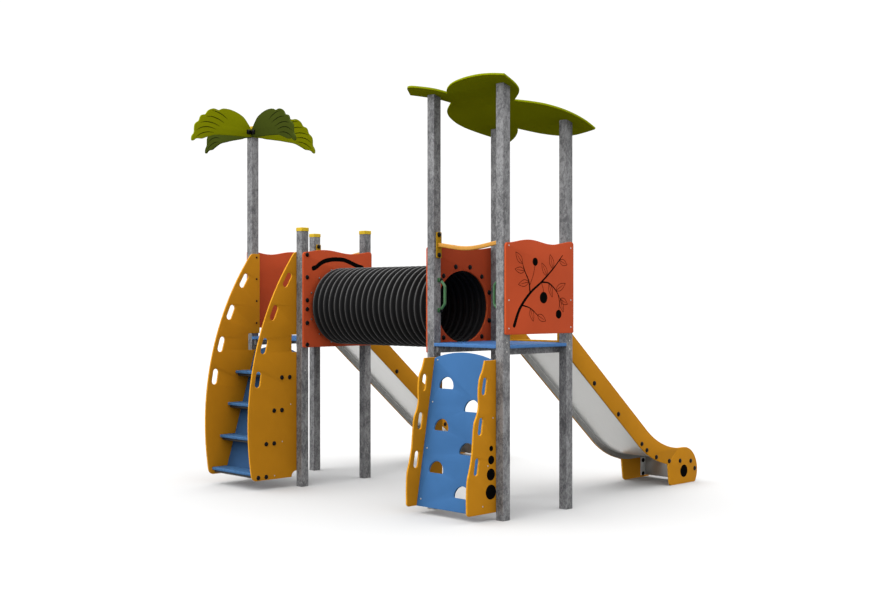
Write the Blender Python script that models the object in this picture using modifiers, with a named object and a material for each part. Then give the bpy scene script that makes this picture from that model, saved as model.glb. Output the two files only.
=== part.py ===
"""Playground structure: two square towers joined by a crawl tunnel.

The left tower has a stair in front, a palm on its tallest post and a slide behind.
The right tower has a climbing wall in front, a leaf-shaped roof and a slide behind.

Lengths are metres. The site axes run X along the tunnel, Y from the stairs towards the
slides and Z up, from the foot of the palm post. Everything hangs on one empty, which
moves the whole structure so that its bounding box stands centred on the world origin.
"""

import math

import bmesh
import bpy
from mathutils import Vector

# Gap between two pieces that touch.
FIT = 0.0003

# Layout of the posts and the decks.
BAY = 0.860
TUNNEL_BAY = 1.942
POST = 0.090
HALF_POST = POST / 2
POST_WALL = 0.004
POST_CORNER = 0.006
POST_FOOT = 0.008
DECK_TOP = 1.530
DECK_THICKNESS = 0.030
BEARER_WIDTH = 0.030
BEARER_HEIGHT = 0.060
BEARER_INSET = 0.025

# Heights above the deck.
GUARD_POST_RISE = 1.135
PALM_POST_RISE = 2.234
ROOF_RISE = 2.2855
ROOF_SLOPE = math.radians(15.1)

# Post caps: a skirted cap on the guard posts and a flush cap on the palm post.
CAP_WALL = 0.004
CAP_SKIRT = 0.030
CAP_TOP = 0.008
CAP_EDGE = 0.004
PALM_CAP = 0.036
CAP_PLUG = 0.030

# Coloured plastic boards. A rounded corner reaches along its edge by this many radii at most.
BOARD = 0.019
BOARD_CORNER = 0.030
CORNER_REACH = 1.6
BOARD_CROWN = 0.060
WAVE_HEIGHT = 0.0175
WAVE_LENGTH = 0.620
WAVE_CREST = 0.280
TUNNEL_WAVE_LENGTH = 0.720
TUNNEL_WAVE_CREST = 0.250
TUNNEL_PANEL_DROP = 0.0945
TUNNEL_PANEL_TOP = 0.899
TUNNEL_PANEL_INSET = 0.005
OUTER_PANEL_GAP = 0.091
OUTER_PANEL_TOP = 0.9125
OUTER_PANEL_INSET = 0.010

# Corrugated crawl tunnel.
TUNNEL_BORE = 0.680
TUNNEL_OUTSIDE = 0.796
TUNNEL_WALL = 0.009
TUNNEL_RIBS = 21
TUNNEL_NECK = 0.027
TUNNEL_SIDES = 24
TUNNEL_DROP = 0.0085
CREST_SHARE = 0.56
MOUTH_SIDES = 36

# Guard rails across the open sides.
RAIL_PLATE = 0.012
RAIL_PLATE_WIDTH = 0.065
RAIL_PLATE_LOW = 0.780
RAIL_PLATE_HEIGHT = 0.240
RAIL_PLATE_OFFSET = 0.011
RAIL_BAR = 0.038
RAIL_BAR_DEPTH = 0.030
RAIL_RISE = 0.900
RAIL_SAG = 0.040
RAIL_SAG_POWER = 1.4

# Grab handles beside the climbing wall.
HANDLE_TUBE = 0.026
HANDLE_LOW = 0.300
HANDLE_HIGH = 0.578
HANDLE_REACH = 0.090
HANDLE_OFFSET = 0.020
HANDLE_PAD = 0.008
HANDLE_PAD_SIZE = 0.042
HANDLE_STUB = 0.016
HANDLE_BEND = 0.032

# Stair: two boards whose front edge is one large arc, with four treads between.
STAIR_ARC = 3.000
STAIR_ARC_HEIGHT = 0.640
STAIR_REACH = 0.648
STAIR_BOTTOM = 0.100
STAIR_HEEL_RADIUS = 0.060
STAIR_TOE_RADIUS = 0.063
STAIR_TOP = 0.892
STAIR_TOP_RADIUS = 0.060
STAIR_NOTCH_DEPTH = 0.060
STAIR_NOTCH_BELOW = 0.143
STAIR_NOTCH_ABOVE = 0.036
STAIR_NOTCH_RADIUS = 0.015
TREADS = 4
TREAD_RISE = 0.333
TREAD_RUN = 0.099
TREAD_FIRST_DROP = 0.355
TREAD_FIRST_REACH = 0.227
TREAD_DEPTH = 0.190
TREAD_THICKNESS = 0.030
TREAD_NOSE = 0.008
ROD = 0.028
ROD_FROM_NOSE = (0.042, 0.141)
RISER_TOP_GAP = 0.065
RISER_BOTTOM = 0.150
HAND_SLOTS = 4
HAND_SLOT_LOW = 1.120
HAND_SLOT_STEP = 0.337
HAND_SLOT_INSET = 0.080
HAND_SLOT_LENGTH = 0.165
HAND_SLOT_WIDTH = 0.066

# Climbing wall: a leaning board with foot holes between two wavy boards.
CLIMB_LEAN = math.radians(9.81)
CLIMB_SET_BACK = 0.012
CLIMB_BOTTOM = 0.068
CLIMB_TOP_GAP = 0.0466
CLIMB_TOE_RADIUS = 0.030
FOOT_HOLE_WIDTH = 0.185
FOOT_HOLE_HEIGHT = 0.107
FOOT_HOLE_CORNER = 0.012
FOOT_HOLE_SIDE = 0.175
FOOT_HOLE_LOW = 0.175
FOOT_HOLE_STEP = 0.190
FOOT_HOLES = 6
CLIMB_SIDE_TOP = 0.130
CLIMB_SLOT_LENGTH = 0.155
CLIMB_SLOT_WIDTH = 0.052
CLIMB_SLOT_STEP = 0.345
CLIMB_SLOT_HIGH = 0.355
CLIMB_SLOT_REACH = 0.140
CLIMB_SLOT_LEAN = 0.145
CLIMB_SLOTS = 3

# Slides: a steel bed between two cheeks that stand on two foot boards. The bed is welded up
# of sheets that step in from each other by a small lap.
SLIDE_INSIDE = 0.572
SLIDE_SLOPE = math.radians(40)
SLIDE_LANDING = 0.085
SLIDE_ENTRY_RADIUS = 0.100
SLIDE_EXIT = 0.2733
SLIDE_BEND = 1.000
SLIDE_RUN_OUT = 0.250
SLIDE_ROLL = 0.050
BED_SHEET = 0.004
BED_LAP = 0.0005
BED_FLANGE = 0.058
BED_START_FLANGE = 0.080
CHEEK_BELOW = 0.060
CHEEK_ABOVE = 0.135
CHEEK_START_DROP = 0.085
CHEEK_HEAD_RADIUS = 0.060
SEAM_BACK = 0.180
SEAM_TOP = 0.0045
SEAM_STEER = (0.40, 0.36)
FOOT_DISC_FORWARD = 0.104
FOOT_DISC_HEIGHT = 0.131
FOOT_RADIUS = 0.248
FOOT_HEEL = 0.150
FOOT_HEEL_RADIUS = 0.045
FOOT_TOE_RADIUS = 0.030
FOOT_NOSE_STOP = math.radians(12)
BRACE_FROM_DISC = 0.134
BRACE_FLANGE = 0.090
BRACE_LOW = 0.020
BRACE_HIGH = 0.220
BRACE_CORNER = 0.010
ENTRY_STRIP = 0.016
ENTRY_STRIP_DEPTH = 0.060
ENTRY_STRIP_EDGE = 0.004
ENTRY_STRIP_NOSE = 0.010

# Palm: two crossed boards, halved into each other beside the tallest post and held by an
# angle in their corner.
PALM_HUB_HEIGHT = 0.084
PALM_HUB_DROP = 0.002
PALM_ANGLE = 0.005
PALM_ANGLE_LEG = 0.064
PALM_ANGLE_HEIGHT = 0.044
PALM_ANGLE_RISE = 0.028
PALM_NECK = HALF_POST + BOARD + 0.006
LEAFLETS = (
    ((PALM_NECK, PALM_HUB_HEIGHT), (0.086, 0.112), (0.114, 0.148), (0.165, 0.203), (0.246, 0.243),
     (0.335, 0.266), (0.424, 0.268), (0.479, 0.246)),
    ((0.479, 0.246), (0.548, 0.256), (0.609, 0.231), (0.645, 0.187)),
    ((0.645, 0.187), (0.700, 0.168), (0.727, 0.112)),
    ((0.727, 0.112), (0.776, 0.068), (0.788, -0.022)),
    ((0.788, -0.022), (0.815, -0.060), (0.815, -0.100), (0.795, -0.103)),
    ((0.795, -0.103), (0.755, -0.078), (0.684, -0.073)),
    ((0.684, -0.073), (0.620, -0.048), (0.544, -0.022)),
    ((0.544, -0.022), (0.357, -0.008), (0.140, -0.005), (0.090, 0.000)),
)

# Roof: one flat sheet of four rounded leaves, as runs between its tips and notches,
# across and along the slope from the middle of the tower.
ROOF_LOBES = (
    ((-0.248, -0.462), (-0.310, -0.558), (-0.420, -0.644), (-0.540, -0.686), (-0.653, -0.541)),
    ((-0.653, -0.541), (-0.512, -0.435), (-0.427, -0.347), (-0.382, -0.264)),
    ((-0.382, -0.264), (-0.498, -0.181), (-0.603, -0.090), (-0.693, 0.062), (-0.727, 0.274),
     (-0.639, 0.554), (-0.510, 0.739)),
    ((-0.510, 0.739), (-0.366, 0.645), (-0.236, 0.531), (-0.185, 0.454)),
    ((-0.185, 0.454), (-0.126, 0.533), (-0.020, 0.650), (0.114, 0.737), (0.257, 0.768), (0.448, 0.732),
     (0.587, 0.691)),
    ((0.587, 0.691), (0.619, 0.466), (0.592, 0.237), (0.499, 0.056), (0.369, -0.058), (0.272, -0.117)),
    ((0.272, -0.117), (0.379, -0.195), (0.483, -0.288), (0.550, -0.422), (0.591, -0.615)),
    ((0.591, -0.615), (0.475, -0.662), (0.333, -0.682), (0.155, -0.668), (-0.024, -0.621),
     (-0.173, -0.538), (-0.248, -0.462)),
)

# Front edge of the climbing wall's side boards: reach before the posts' middle line, height.
CLIMB_EDGE = (
    (0.178, 1.398), (0.187, 1.370), (0.206, 1.312), (0.243, 1.240), (0.258, 1.130), (0.256, 1.010),
    (0.275, 0.933), (0.310, 0.855), (0.327, 0.715), (0.340, 0.583), (0.369, 0.460), (0.395, 0.371),
    (0.403, 0.240), (0.402, 0.110),
)

# Colour, roughness and metallic value of each finish.
FINISHES = {
    "galvanised steel": ((0.22, 0.22, 0.22), 0.55, 0.8),
    "stainless steel": ((0.55, 0.55, 0.53), 0.35, 0.9),
    "yellow board": ((0.46, 0.20, 0.010), 0.45, 0.0),
    "red board": ((0.46, 0.060, 0.022), 0.45, 0.0),
    "blue board": ((0.065, 0.18, 0.45), 0.45, 0.0),
    "green board": ((0.14, 0.19, 0.005), 0.45, 0.0),
    "dark green board": ((0.060, 0.095, 0.012), 0.45, 0.0),
    "yellow cap": ((0.72, 0.42, 0.010), 0.40, 0.0),
    "green grip": ((0.035, 0.13, 0.040), 0.40, 0.0),
    "black polyethylene": ((0.016, 0.016, 0.017), 0.50, 0.0),
    "dark steel": ((0.030, 0.030, 0.032), 0.45, 0.6),
}

# Rotations that stand a flat outline up: facing along X, or along Y.
LYING = (0, 0, 0)
FACING_X = (math.radians(90), 0, math.radians(90))
FACING_Y = (math.radians(90), 0, 0)

# Places that several pieces share.
LEFT_TOWER = 0
RIGHT_TOWER = BAY + TUNNEL_BAY
DECK_UNDERSIDE = DECK_TOP - DECK_THICKNESS
BACK_FACE = BAY + HALF_POST
BETWEEN_POSTS = BAY - POST
TUNNEL_AXIS = DECK_TOP + TUNNEL_BORE / 2 - TUNNEL_DROP
STAIR_INSIDE = BETWEEN_POSTS - 2 * (BOARD + FIT)
STAIR_PITCH = TREAD_RUN / TREAD_RISE
BESIDE_POST = HALF_POST + FIT + BOARD / 2


def clear_scene():
    """Remove what the file opened with."""
    for obj in list(bpy.data.objects):
        bpy.data.objects.remove(obj, do_unlink=True)


def new_collection(name):
    """A collection under the scene."""
    collection = bpy.data.collections.new(name)
    bpy.context.scene.collection.children.link(collection)
    return collection


clear_scene()
PARTS = new_collection("playground_structure")
CUTTERS = new_collection("cutters")
SITE = bpy.data.objects.new("site", None)
PARTS.objects.link(SITE)


def material(finish):
    """The Principled material of a finish, made when it is first asked for."""
    found = bpy.data.materials.get(finish)
    if found:
        return found
    colour, roughness, metallic = FINISHES[finish]
    made = bpy.data.materials.new(finish)
    made.use_nodes = True
    shader = made.node_tree.nodes["Principled BSDF"]
    shader.inputs["Base Color"].default_value = (*colour, 1)
    shader.inputs["Roughness"].default_value = roughness
    shader.inputs["Metallic"].default_value = metallic
    return made


def add(name, mesh, finish, location=(0, 0, 0), rotation=LYING):
    """Place a mesh on the site as one named piece."""
    obj = bpy.data.objects.new(name, mesh)
    mesh.materials.append(material(finish))
    obj.location = location
    obj.rotation_euler = rotation
    obj.parent = SITE
    PARTS.objects.link(obj)
    return obj


def shape(obj, operation, mesh, location=(0, 0, 0), rotation=LYING):
    """Add a mesh to a piece, or cut it away, with a Boolean modifier."""
    tool = bpy.data.objects.new(obj.name + "_" + operation.lower(), mesh)
    tool.location = location
    tool.rotation_euler = rotation
    tool.parent = SITE
    tool.hide_render = True
    tool.display_type = "WIRE"
    CUTTERS.objects.link(tool)
    modifier = obj.modifiers.new(operation.title(), "BOOLEAN")
    modifier.operation = operation
    modifier.object = tool


def arc(centre, radius, start, end, steps):
    """Points on an arc between two angles in degrees, both ends included."""
    points = []
    for step in range(steps + 1):
        angle = math.radians(start + (end - start) * step / steps)
        points.append((centre[0] + radius * math.cos(angle), centre[1] + radius * math.sin(angle)))
    return points


def circle(centre, radius, sides):
    """A closed round outline."""
    return arc(centre, radius, 0, 360, sides)[:-1]


def rounded(corners, steps=4):
    """A closed outline through (x, y, radius) corners, each turned on its own radius."""
    outline = []
    for index, (x, y, radius) in enumerate(corners):
        corner = Vector((x, y))
        if radius == 0:
            outline.append((x, y))
            continue
        back = (Vector(corners[index - 1][:2]) - corner).normalized()
        ahead = (Vector(corners[(index + 1) % len(corners)][:2]) - corner).normalized()
        half_angle = back.angle(ahead) / 2
        centre = corner + (back + ahead).normalized() * radius / math.sin(half_angle)
        first = corner + back * radius / math.tan(half_angle) - centre
        last = corner + ahead * radius / math.tan(half_angle) - centre
        start = math.degrees(math.atan2(first.y, first.x))
        turn = math.degrees(math.atan2(first.cross(last), first.dot(last)))
        outline.extend(arc(centre, radius, start, start + turn, steps))
    return outline


def box_outline(low, high, radius):
    """A rectangle with rounded corners."""
    return rounded([(low[0], low[1], radius), (high[0], low[1], radius),
                    (high[0], high[1], radius), (low[0], high[1], radius)], steps=3)


def slot(centre, length, width, angle, steps=6):
    """A hand slot with half-round ends; its length points along an angle in degrees."""
    reach = (length - width) / 2
    across = math.radians(angle)
    outline = []
    for side in (1, -1):
        end = (centre[0] + side * reach * math.cos(across), centre[1] + side * reach * math.sin(across))
        first = angle - 90 if side > 0 else angle + 90
        outline.extend(arc(end, width / 2, first, first + 180, steps))
    return outline


def smooth(points, steps=4):
    """A curve through the points, from the first to the last (Catmull-Rom)."""
    knots = [Vector(point) for point in points]
    knots = [2 * knots[0] - knots[1], *knots, 2 * knots[-1] - knots[-2]]
    curve = []
    for before, start, end, after in zip(knots, knots[1:], knots[2:], knots[3:]):
        for step in range(steps):
            t = step / steps
            point = 0.5 * (2 * start + (end - before) * t
                           + (2 * before - 5 * start + 4 * end - after) * t ** 2
                           + (3 * start - before - 3 * end + after) * t ** 3)
            curve.append(tuple(point))
    return [*curve, tuple(knots[-2])]


def offset(path, distance):
    """The path moved to its right-hand side, with mitred bends."""
    points = [Vector(point) for point in path]
    moved = []
    for index, point in enumerate(points):
        normals = []
        for start, end in ((index - 1, index), (index, index + 1)):
            if 0 <= start and end < len(points):
                along = (points[end] - points[start]).normalized()
                normals.append(Vector((along.y, -along.x)))
        mitre = (normals[0] + normals[-1]).normalized()
        moved.append(tuple(point + mitre * distance / mitre.dot(normals[0])))
    return moved


def ribbon(path, thickness):
    """A closed outline from a path to its right-hand side."""
    return [*path, *reversed(offset(path, thickness))]


def curve_mesh(curve):
    """Make a curve a mesh with its caps welded and its faces pointing out."""
    guide = bpy.data.objects.new("guide", curve)
    bpy.context.scene.collection.objects.link(guide)
    evaluated = guide.evaluated_get(bpy.context.evaluated_depsgraph_get())
    mesh = bpy.data.meshes.new_from_object(evaluated)
    bpy.data.objects.remove(guide)
    bpy.data.curves.remove(curve)
    mesh.materials.clear()
    work = bmesh.new()
    work.from_mesh(mesh)
    bmesh.ops.remove_doubles(work, verts=work.verts, dist=0.00001)
    bmesh.ops.recalc_face_normals(work, faces=work.faces)
    work.to_mesh(mesh)
    work.free()
    return mesh


def plate(outline, thickness, holes=()):
    """A flat board: a filled outline with its thickness half to each side."""
    curve = bpy.data.curves.new("outline", "CURVE")
    curve.dimensions = "2D"
    curve.fill_mode = "BOTH"
    curve.extrude = thickness / 2
    for loop in (outline, *holes):
        spline = curve.splines.new("POLY")
        spline.points.add(len(loop) - 1)
        spline.use_cyclic_u = True
        for point, (x, y) in zip(spline.points, loop):
            point.co = (x, y, 0, 1)
    return curve_mesh(curve)


def tube(path, diameter):
    """A round tube along 3D points, with closed ends."""
    curve = bpy.data.curves.new("path", "CURVE")
    curve.dimensions = "3D"
    curve.bevel_depth = diameter / 2
    curve.bevel_resolution = 3
    curve.use_fill_caps = True
    spline = curve.splines.new("POLY")
    spline.points.add(len(path) - 1)
    for point, place in zip(spline.points, path):
        point.co = (*place, 1)
    return curve_mesh(curve)


def block(low, high):
    """A box between two corners."""
    mesh = bpy.data.meshes.new("block")
    work = bmesh.new()
    bmesh.ops.create_cube(work, size=1)
    for vertex in work.verts:
        vertex.co = [low[axis] if vertex.co[axis] < 0 else high[axis] for axis in range(3)]
    work.to_mesh(mesh)
    work.free()
    return mesh


def bar(length, diameter, sides=16):
    """A round bar along Z, centred."""
    mesh = bpy.data.meshes.new("bar")
    work = bmesh.new()
    bmesh.ops.create_cone(work, cap_ends=True, segments=sides, radius1=diameter / 2,
                          radius2=diameter / 2, depth=length)
    work.to_mesh(mesh)
    work.free()
    return mesh


def square(side, radius):
    """A centred square outline with rounded corners."""
    return box_outline((-side / 2, -side / 2), (side / 2, side / 2), radius)


def roof_underside(y):
    """Height of the roof's underside over a place on the site."""
    return DECK_TOP + ROOF_RISE - math.tan(ROOF_SLOPE) * (y + HALF_POST)


def make_post(name, x, y, top):
    """A square steel tube with a welded foot; its top follows a height or the roof."""
    height = DECK_TOP + max(ROOF_RISE, PALM_POST_RISE, GUARD_POST_RISE)
    mesh = plate(square(POST, POST_CORNER), height)
    for vertex in mesh.vertices:
        if vertex.co.z > 0:
            vertex.co.z = top(y + vertex.co.y) - FIT - height / 2
    post = add(name, mesh, "galvanised steel", (x, y, height / 2))
    hollow = plate(square(POST - 2 * POST_WALL, POST_CORNER / 2), height)
    shape(post, "DIFFERENCE", hollow, (x, y, height / 2 + POST_FOOT))


def make_posts():
    """Four posts to each tower; the right tower's carry the roof."""
    guard_top = DECK_TOP + GUARD_POST_RISE
    palm_top = DECK_TOP + PALM_POST_RISE
    make_post("left_post_front_outer", LEFT_TOWER, 0, lambda y: palm_top)
    make_post("left_post_front_inner", LEFT_TOWER + BAY, 0, lambda y: guard_top)
    make_post("left_post_rear_outer", LEFT_TOWER, BAY, lambda y: guard_top)
    make_post("left_post_rear_inner", LEFT_TOWER + BAY, BAY, lambda y: guard_top)
    make_post("right_post_front_inner", RIGHT_TOWER, 0, roof_underside)
    make_post("right_post_front_outer", RIGHT_TOWER + BAY, 0, roof_underside)
    make_post("right_post_rear_inner", RIGHT_TOWER, BAY, roof_underside)
    make_post("right_post_rear_outer", RIGHT_TOWER + BAY, BAY, roof_underside)


def soften(mesh, width, above):
    """Bevel the edges of a mesh that lie above a height in its own frame."""
    work = bmesh.new()
    work.from_mesh(mesh)
    edges = [edge for edge in work.edges
             if all(vertex.co.z > above for vertex in edge.verts) and len(edge.link_faces) == 2
             and edge.calc_face_angle() > math.radians(60)]
    bmesh.ops.bevel(work, geom=edges, offset=width, segments=2, profile=0.5, affect="EDGES")
    work.to_mesh(mesh)
    work.free()
    return mesh


def make_guard_cap(name, x, y):
    """A moulded cap whose skirt goes over the top of a guard post."""
    inside = POST + 2 * FIT
    outside = inside + 2 * CAP_WALL
    height = CAP_SKIRT + CAP_TOP
    bottom = DECK_TOP + GUARD_POST_RISE - CAP_SKIRT
    mesh = plate(square(outside, POST_CORNER + CAP_WALL), height)
    cap = add(name, soften(mesh, CAP_EDGE, 0), "yellow cap", (x, y, bottom + height / 2))
    socket = plate(square(inside, POST_CORNER), 2 * CAP_SKIRT)
    shape(cap, "DIFFERENCE", socket, (x, y, bottom))


def make_palm_cap():
    """A flush cap with a plug, because the palm boards lie against the post's faces."""
    bottom = DECK_TOP + PALM_POST_RISE
    mesh = plate(square(POST, POST_CORNER), PALM_CAP)
    location = (LEFT_TOWER, 0, bottom + PALM_CAP / 2)
    cap = add("palm_post_cap", soften(mesh, CAP_EDGE, 0), "yellow cap", location)
    plug = plate(square(POST - 2 * (POST_WALL + FIT), POST_CORNER / 2), CAP_PLUG + PALM_CAP / 2)
    shape(cap, "UNION", plug, (LEFT_TOWER, 0, bottom + (PALM_CAP / 2 - CAP_PLUG) / 2))


def make_caps():
    """Caps on the four posts of the left tower."""
    make_palm_cap()
    make_guard_cap("cap_front_inner", LEFT_TOWER + BAY, 0)
    make_guard_cap("cap_rear_outer", LEFT_TOWER, BAY)
    make_guard_cap("cap_rear_inner", LEFT_TOWER + BAY, BAY)


def make_deck(side, tower):
    """A deck flush with the posts' outer faces and notched round them, on a welded frame."""
    near = HALF_POST + FIT
    far = BAY - HALF_POST - FIT
    low = -HALF_POST
    high = BACK_FACE
    outline = [(low, near), (near, near), (near, low), (far, low), (far, near), (high, near),
               (high, far), (far, far), (far, high), (near, high), (near, far), (low, far)]
    add("deck_" + side, plate(outline, DECK_THICKNESS), "blue board",
        (tower, 0, DECK_TOP - DECK_THICKNESS / 2))

    front = low + BEARER_INSET
    frame = [(near, front), (near, high), (far, high), (far, front),
             (far - BEARER_WIDTH, front), (far - BEARER_WIDTH, high - BEARER_WIDTH),
             (near + BEARER_WIDTH, high - BEARER_WIDTH), (near + BEARER_WIDTH, front)]
    add("deck_frame_" + side, plate(frame, BEARER_HEIGHT), "galvanised steel",
        (tower, 0, DECK_UNDERSIDE - FIT - BEARER_HEIGHT / 2))


def panel_outline(inset, bottom, middle, crest, length, mirrored=False):
    """A panel across a bay in (y, z): square below, with one wave along its top."""
    front = -HALF_POST + inset
    back = BACK_FACE - inset

    def wave(y):
        place = BAY - y if mirrored else y
        return middle + WAVE_HEIGHT * math.cos(2 * math.pi * (place - crest) / length)

    points = 16
    reach = BOARD_CORNER * CORNER_REACH
    top = []
    for step in range(points + 1):
        y = back - reach + (front - back + 2 * reach) * step / points
        top.append((y, wave(y), 0))
    corners = [(front, bottom, BOARD_CORNER / 2), (back, bottom, BOARD_CORNER / 2),
               (back, wave(back), BOARD_CORNER), *top, (front, wave(front), BOARD_CORNER)]
    return rounded(corners, steps=3)


def make_panels():
    """Two panels that hold the tunnel and two that close the outer sides."""
    mouth = circle((BAY / 2, TUNNEL_AXIS), TUNNEL_BORE / 2, MOUTH_SIDES)
    outline = panel_outline(TUNNEL_PANEL_INSET, DECK_TOP - TUNNEL_PANEL_DROP,
                            DECK_TOP + TUNNEL_PANEL_TOP, TUNNEL_WAVE_CREST, TUNNEL_WAVE_LENGTH)
    add("tunnel_panel_left", plate(outline, BOARD, [mouth]), "red board",
        (LEFT_TOWER + BAY + BESIDE_POST, 0, 0), FACING_X)
    add("tunnel_panel_right", plate(outline, BOARD, [mouth]), "red board",
        (RIGHT_TOWER - BESIDE_POST, 0, 0), FACING_X)

    for name, x, mirrored in (("back_panel_left", LEFT_TOWER - BESIDE_POST, True),
                              ("picture_panel_right", RIGHT_TOWER + BAY + BESIDE_POST, False)):
        outline = panel_outline(OUTER_PANEL_INSET, DECK_TOP + OUTER_PANEL_GAP,
                                DECK_TOP + OUTER_PANEL_TOP, WAVE_CREST, WAVE_LENGTH, mirrored)
        add(name, plate(outline, BOARD), "red board", (x, 0, 0), FACING_X)


def make_tunnel():
    """Corrugated pipe between the two tunnel panels: a ribbed wall turned about the bore."""
    start = LEFT_TOWER + BAY + HALF_POST + BOARD + 2 * FIT
    length = RIGHT_TOWER - HALF_POST - BOARD - 2 * FIT - start
    pitch = (length - 2 * TUNNEL_NECK) / TUNNEL_RIBS
    crest = TUNNEL_OUTSIDE / 2
    groove = TUNNEL_BORE / 2 + TUNNEL_WALL
    half_crest = CREST_SHARE * pitch / 2
    half_valley = half_crest - TUNNEL_WALL

    outer = [(groove, length), (groove, length - TUNNEL_NECK)]
    inner = [(TUNNEL_BORE / 2, 0), (TUNNEL_BORE / 2, TUNNEL_NECK)]
    for rib in range(TUNNEL_RIBS):
        up = TUNNEL_NECK + (rib + 0.5) * pitch
        down = length - up
        outer.extend([(crest, down + half_crest), (crest, down - half_crest), (groove, down - pitch / 2)])
        inner.extend([(crest - TUNNEL_WALL, up - half_valley), (crest - TUNNEL_WALL, up + half_valley),
                      (TUNNEL_BORE / 2, up + pitch / 2)])
    profile = [*outer, (groove, 0), *inner, (TUNNEL_BORE / 2, length)]

    mesh = bpy.data.meshes.new("corrugated_wall")
    edges = [(index, (index + 1) % len(profile)) for index in range(len(profile))]
    mesh.from_pydata([(radius, 0, along) for radius, along in profile], edges, [])
    tunnel = add("tunnel", mesh, "black polyethylene", (start, BAY / 2, TUNNEL_AXIS),
                 (0, math.radians(90), 0))
    turn = tunnel.modifiers.new("Turn", "SCREW")
    turn.steps = TUNNEL_SIDES
    turn.render_steps = TUNNEL_SIDES
    turn.use_merge_vertices = True
    turn.merge_threshold = 0.00001
    turn.use_smooth_shade = False


def make_guard_rail(name, tower, y):
    """A sagging bar between two plates bolted to the facing sides of two posts."""
    middle = y + RAIL_PLATE_OFFSET
    left = tower + HALF_POST + FIT
    right = tower + BAY - HALF_POST - FIT
    low = DECK_TOP + RAIL_PLATE_LOW
    height = DECK_TOP + RAIL_RISE

    count = 12
    upper = []
    for step in range(count + 1):
        share = step / count
        x = left + RAIL_PLATE / 2 + (right - left - RAIL_PLATE) * share
        upper.append((x, height + RAIL_BAR / 2 - RAIL_SAG * math.sin(math.pi * share) ** RAIL_SAG_POWER))
    lower = [(x, z - RAIL_BAR) for x, z in reversed(upper)]
    rail = add(name, plate([*upper, *lower], RAIL_BAR_DEPTH), "yellow board", (0, middle, 0), FACING_Y)

    foot = box_outline((middle - RAIL_PLATE_WIDTH / 2, low),
                       (middle + RAIL_PLATE_WIDTH / 2, low + RAIL_PLATE_HEIGHT), RAIL_PLATE)
    shape(rail, "UNION", plate(foot, RAIL_PLATE), (left + RAIL_PLATE / 2, 0, 0), FACING_X)
    shape(rail, "UNION", plate(foot, RAIL_PLATE), (right - RAIL_PLATE / 2, 0, 0), FACING_X)


def make_handle(name, face, direction):
    """A bow handle with two pads on a post's side; direction is where it stands out to."""
    low = DECK_TOP + HANDLE_LOW
    high = DECK_TOP + HANDLE_HIGH
    start = face + direction * (FIT + HANDLE_PAD / 2)
    stub = start + direction * HANDLE_STUB
    out = face + direction * (HANDLE_REACH - HANDLE_TUBE / 2)
    leg = abs(out - stub)
    path = rounded([(start, low, 0), (stub, low, HANDLE_BEND), (out, low + leg, HANDLE_BEND),
                    (out, high - leg, HANDLE_BEND), (stub, high, HANDLE_BEND), (start, high, 0)], steps=2)
    handle = add(name, tube([(x, HANDLE_OFFSET, z) for x, z in path], HANDLE_TUBE), "green grip")
    for z in (low, high):
        pad = square(HANDLE_PAD_SIZE, HANDLE_PAD)
        shape(handle, "UNION", plate(pad, HANDLE_PAD),
              (face + direction * (FIT + HANDLE_PAD / 2), HANDLE_OFFSET, z), FACING_X)


def stair_edge(z, inset=0):
    """Place in y of the stair boards' front arc, or of an arc set in from it."""
    middle = STAIR_ARC - STAIR_REACH
    radius = STAIR_ARC - inset
    return middle - math.sqrt(radius ** 2 - (z - STAIR_ARC_HEIGHT) ** 2)


def stair_side_mesh():
    """One stair board in (y, z), notched round the deck, with its hand slots."""
    top = DECK_TOP + STAIR_TOP
    notch_low = DECK_TOP - STAIR_NOTCH_BELOW
    notch_high = DECK_TOP + STAIR_NOTCH_ABOVE
    notch_front = -HALF_POST - STAIR_NOTCH_DEPTH
    heel = arc((-HALF_POST - FIT, STAIR_BOTTOM), STAIR_HEEL_RADIUS, 90, 180, 3)

    edge = []
    count = 14
    low = STAIR_BOTTOM + STAIR_TOE_RADIUS * CORNER_REACH
    for step in range(count + 1):
        z = low + (top - STAIR_TOP_RADIUS - low) * step / count
        edge.append((stair_edge(z), z, 0))
    corners = [
        (HALF_POST, top, 0), (HALF_POST, notch_high, 0),
        (notch_front, notch_high, STAIR_NOTCH_RADIUS), (notch_front, notch_low, STAIR_NOTCH_RADIUS),
        (HALF_POST, notch_low, 0), (HALF_POST, heel[0][1], 0), *[(y, z, 0) for y, z in heel],
        (stair_edge(STAIR_BOTTOM), STAIR_BOTTOM, STAIR_TOE_RADIUS),
        *edge,
        (stair_edge(top), top, STAIR_TOP_RADIUS),
    ]
    slots = []
    for index in range(HAND_SLOTS):
        z = HAND_SLOT_LOW + index * HAND_SLOT_STEP
        lean = math.degrees(math.asin((z - STAIR_ARC_HEIGHT) / (STAIR_ARC - HAND_SLOT_INSET)))
        slots.append(slot((stair_edge(z, HAND_SLOT_INSET), z), HAND_SLOT_LENGTH, HAND_SLOT_WIDTH, 90 - lean))
    return plate(rounded(corners), BOARD, slots)


def crowned(length):
    """A board between two side boards, from its foot up to an arched top."""
    half = STAIR_INSIDE / 2 - FIT
    radius = (half ** 2 + BOARD_CROWN ** 2) / (2 * BOARD_CROWN)
    angle = math.degrees(math.asin(half / radius))
    return [(-half, 0), (half, 0), *arc((0, length - radius), radius, 90 - angle, 90 + angle, 14)]


def add_leaning(name, mesh, x, front, bottom, lean):
    """Place a blue board whose front face leans back from a line at its foot."""
    add(name, mesh, "blue board",
        (x, front + BOARD / 2 * math.cos(lean), bottom - BOARD / 2 * math.sin(lean)),
        (math.radians(90) - lean, 0, 0))


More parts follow.
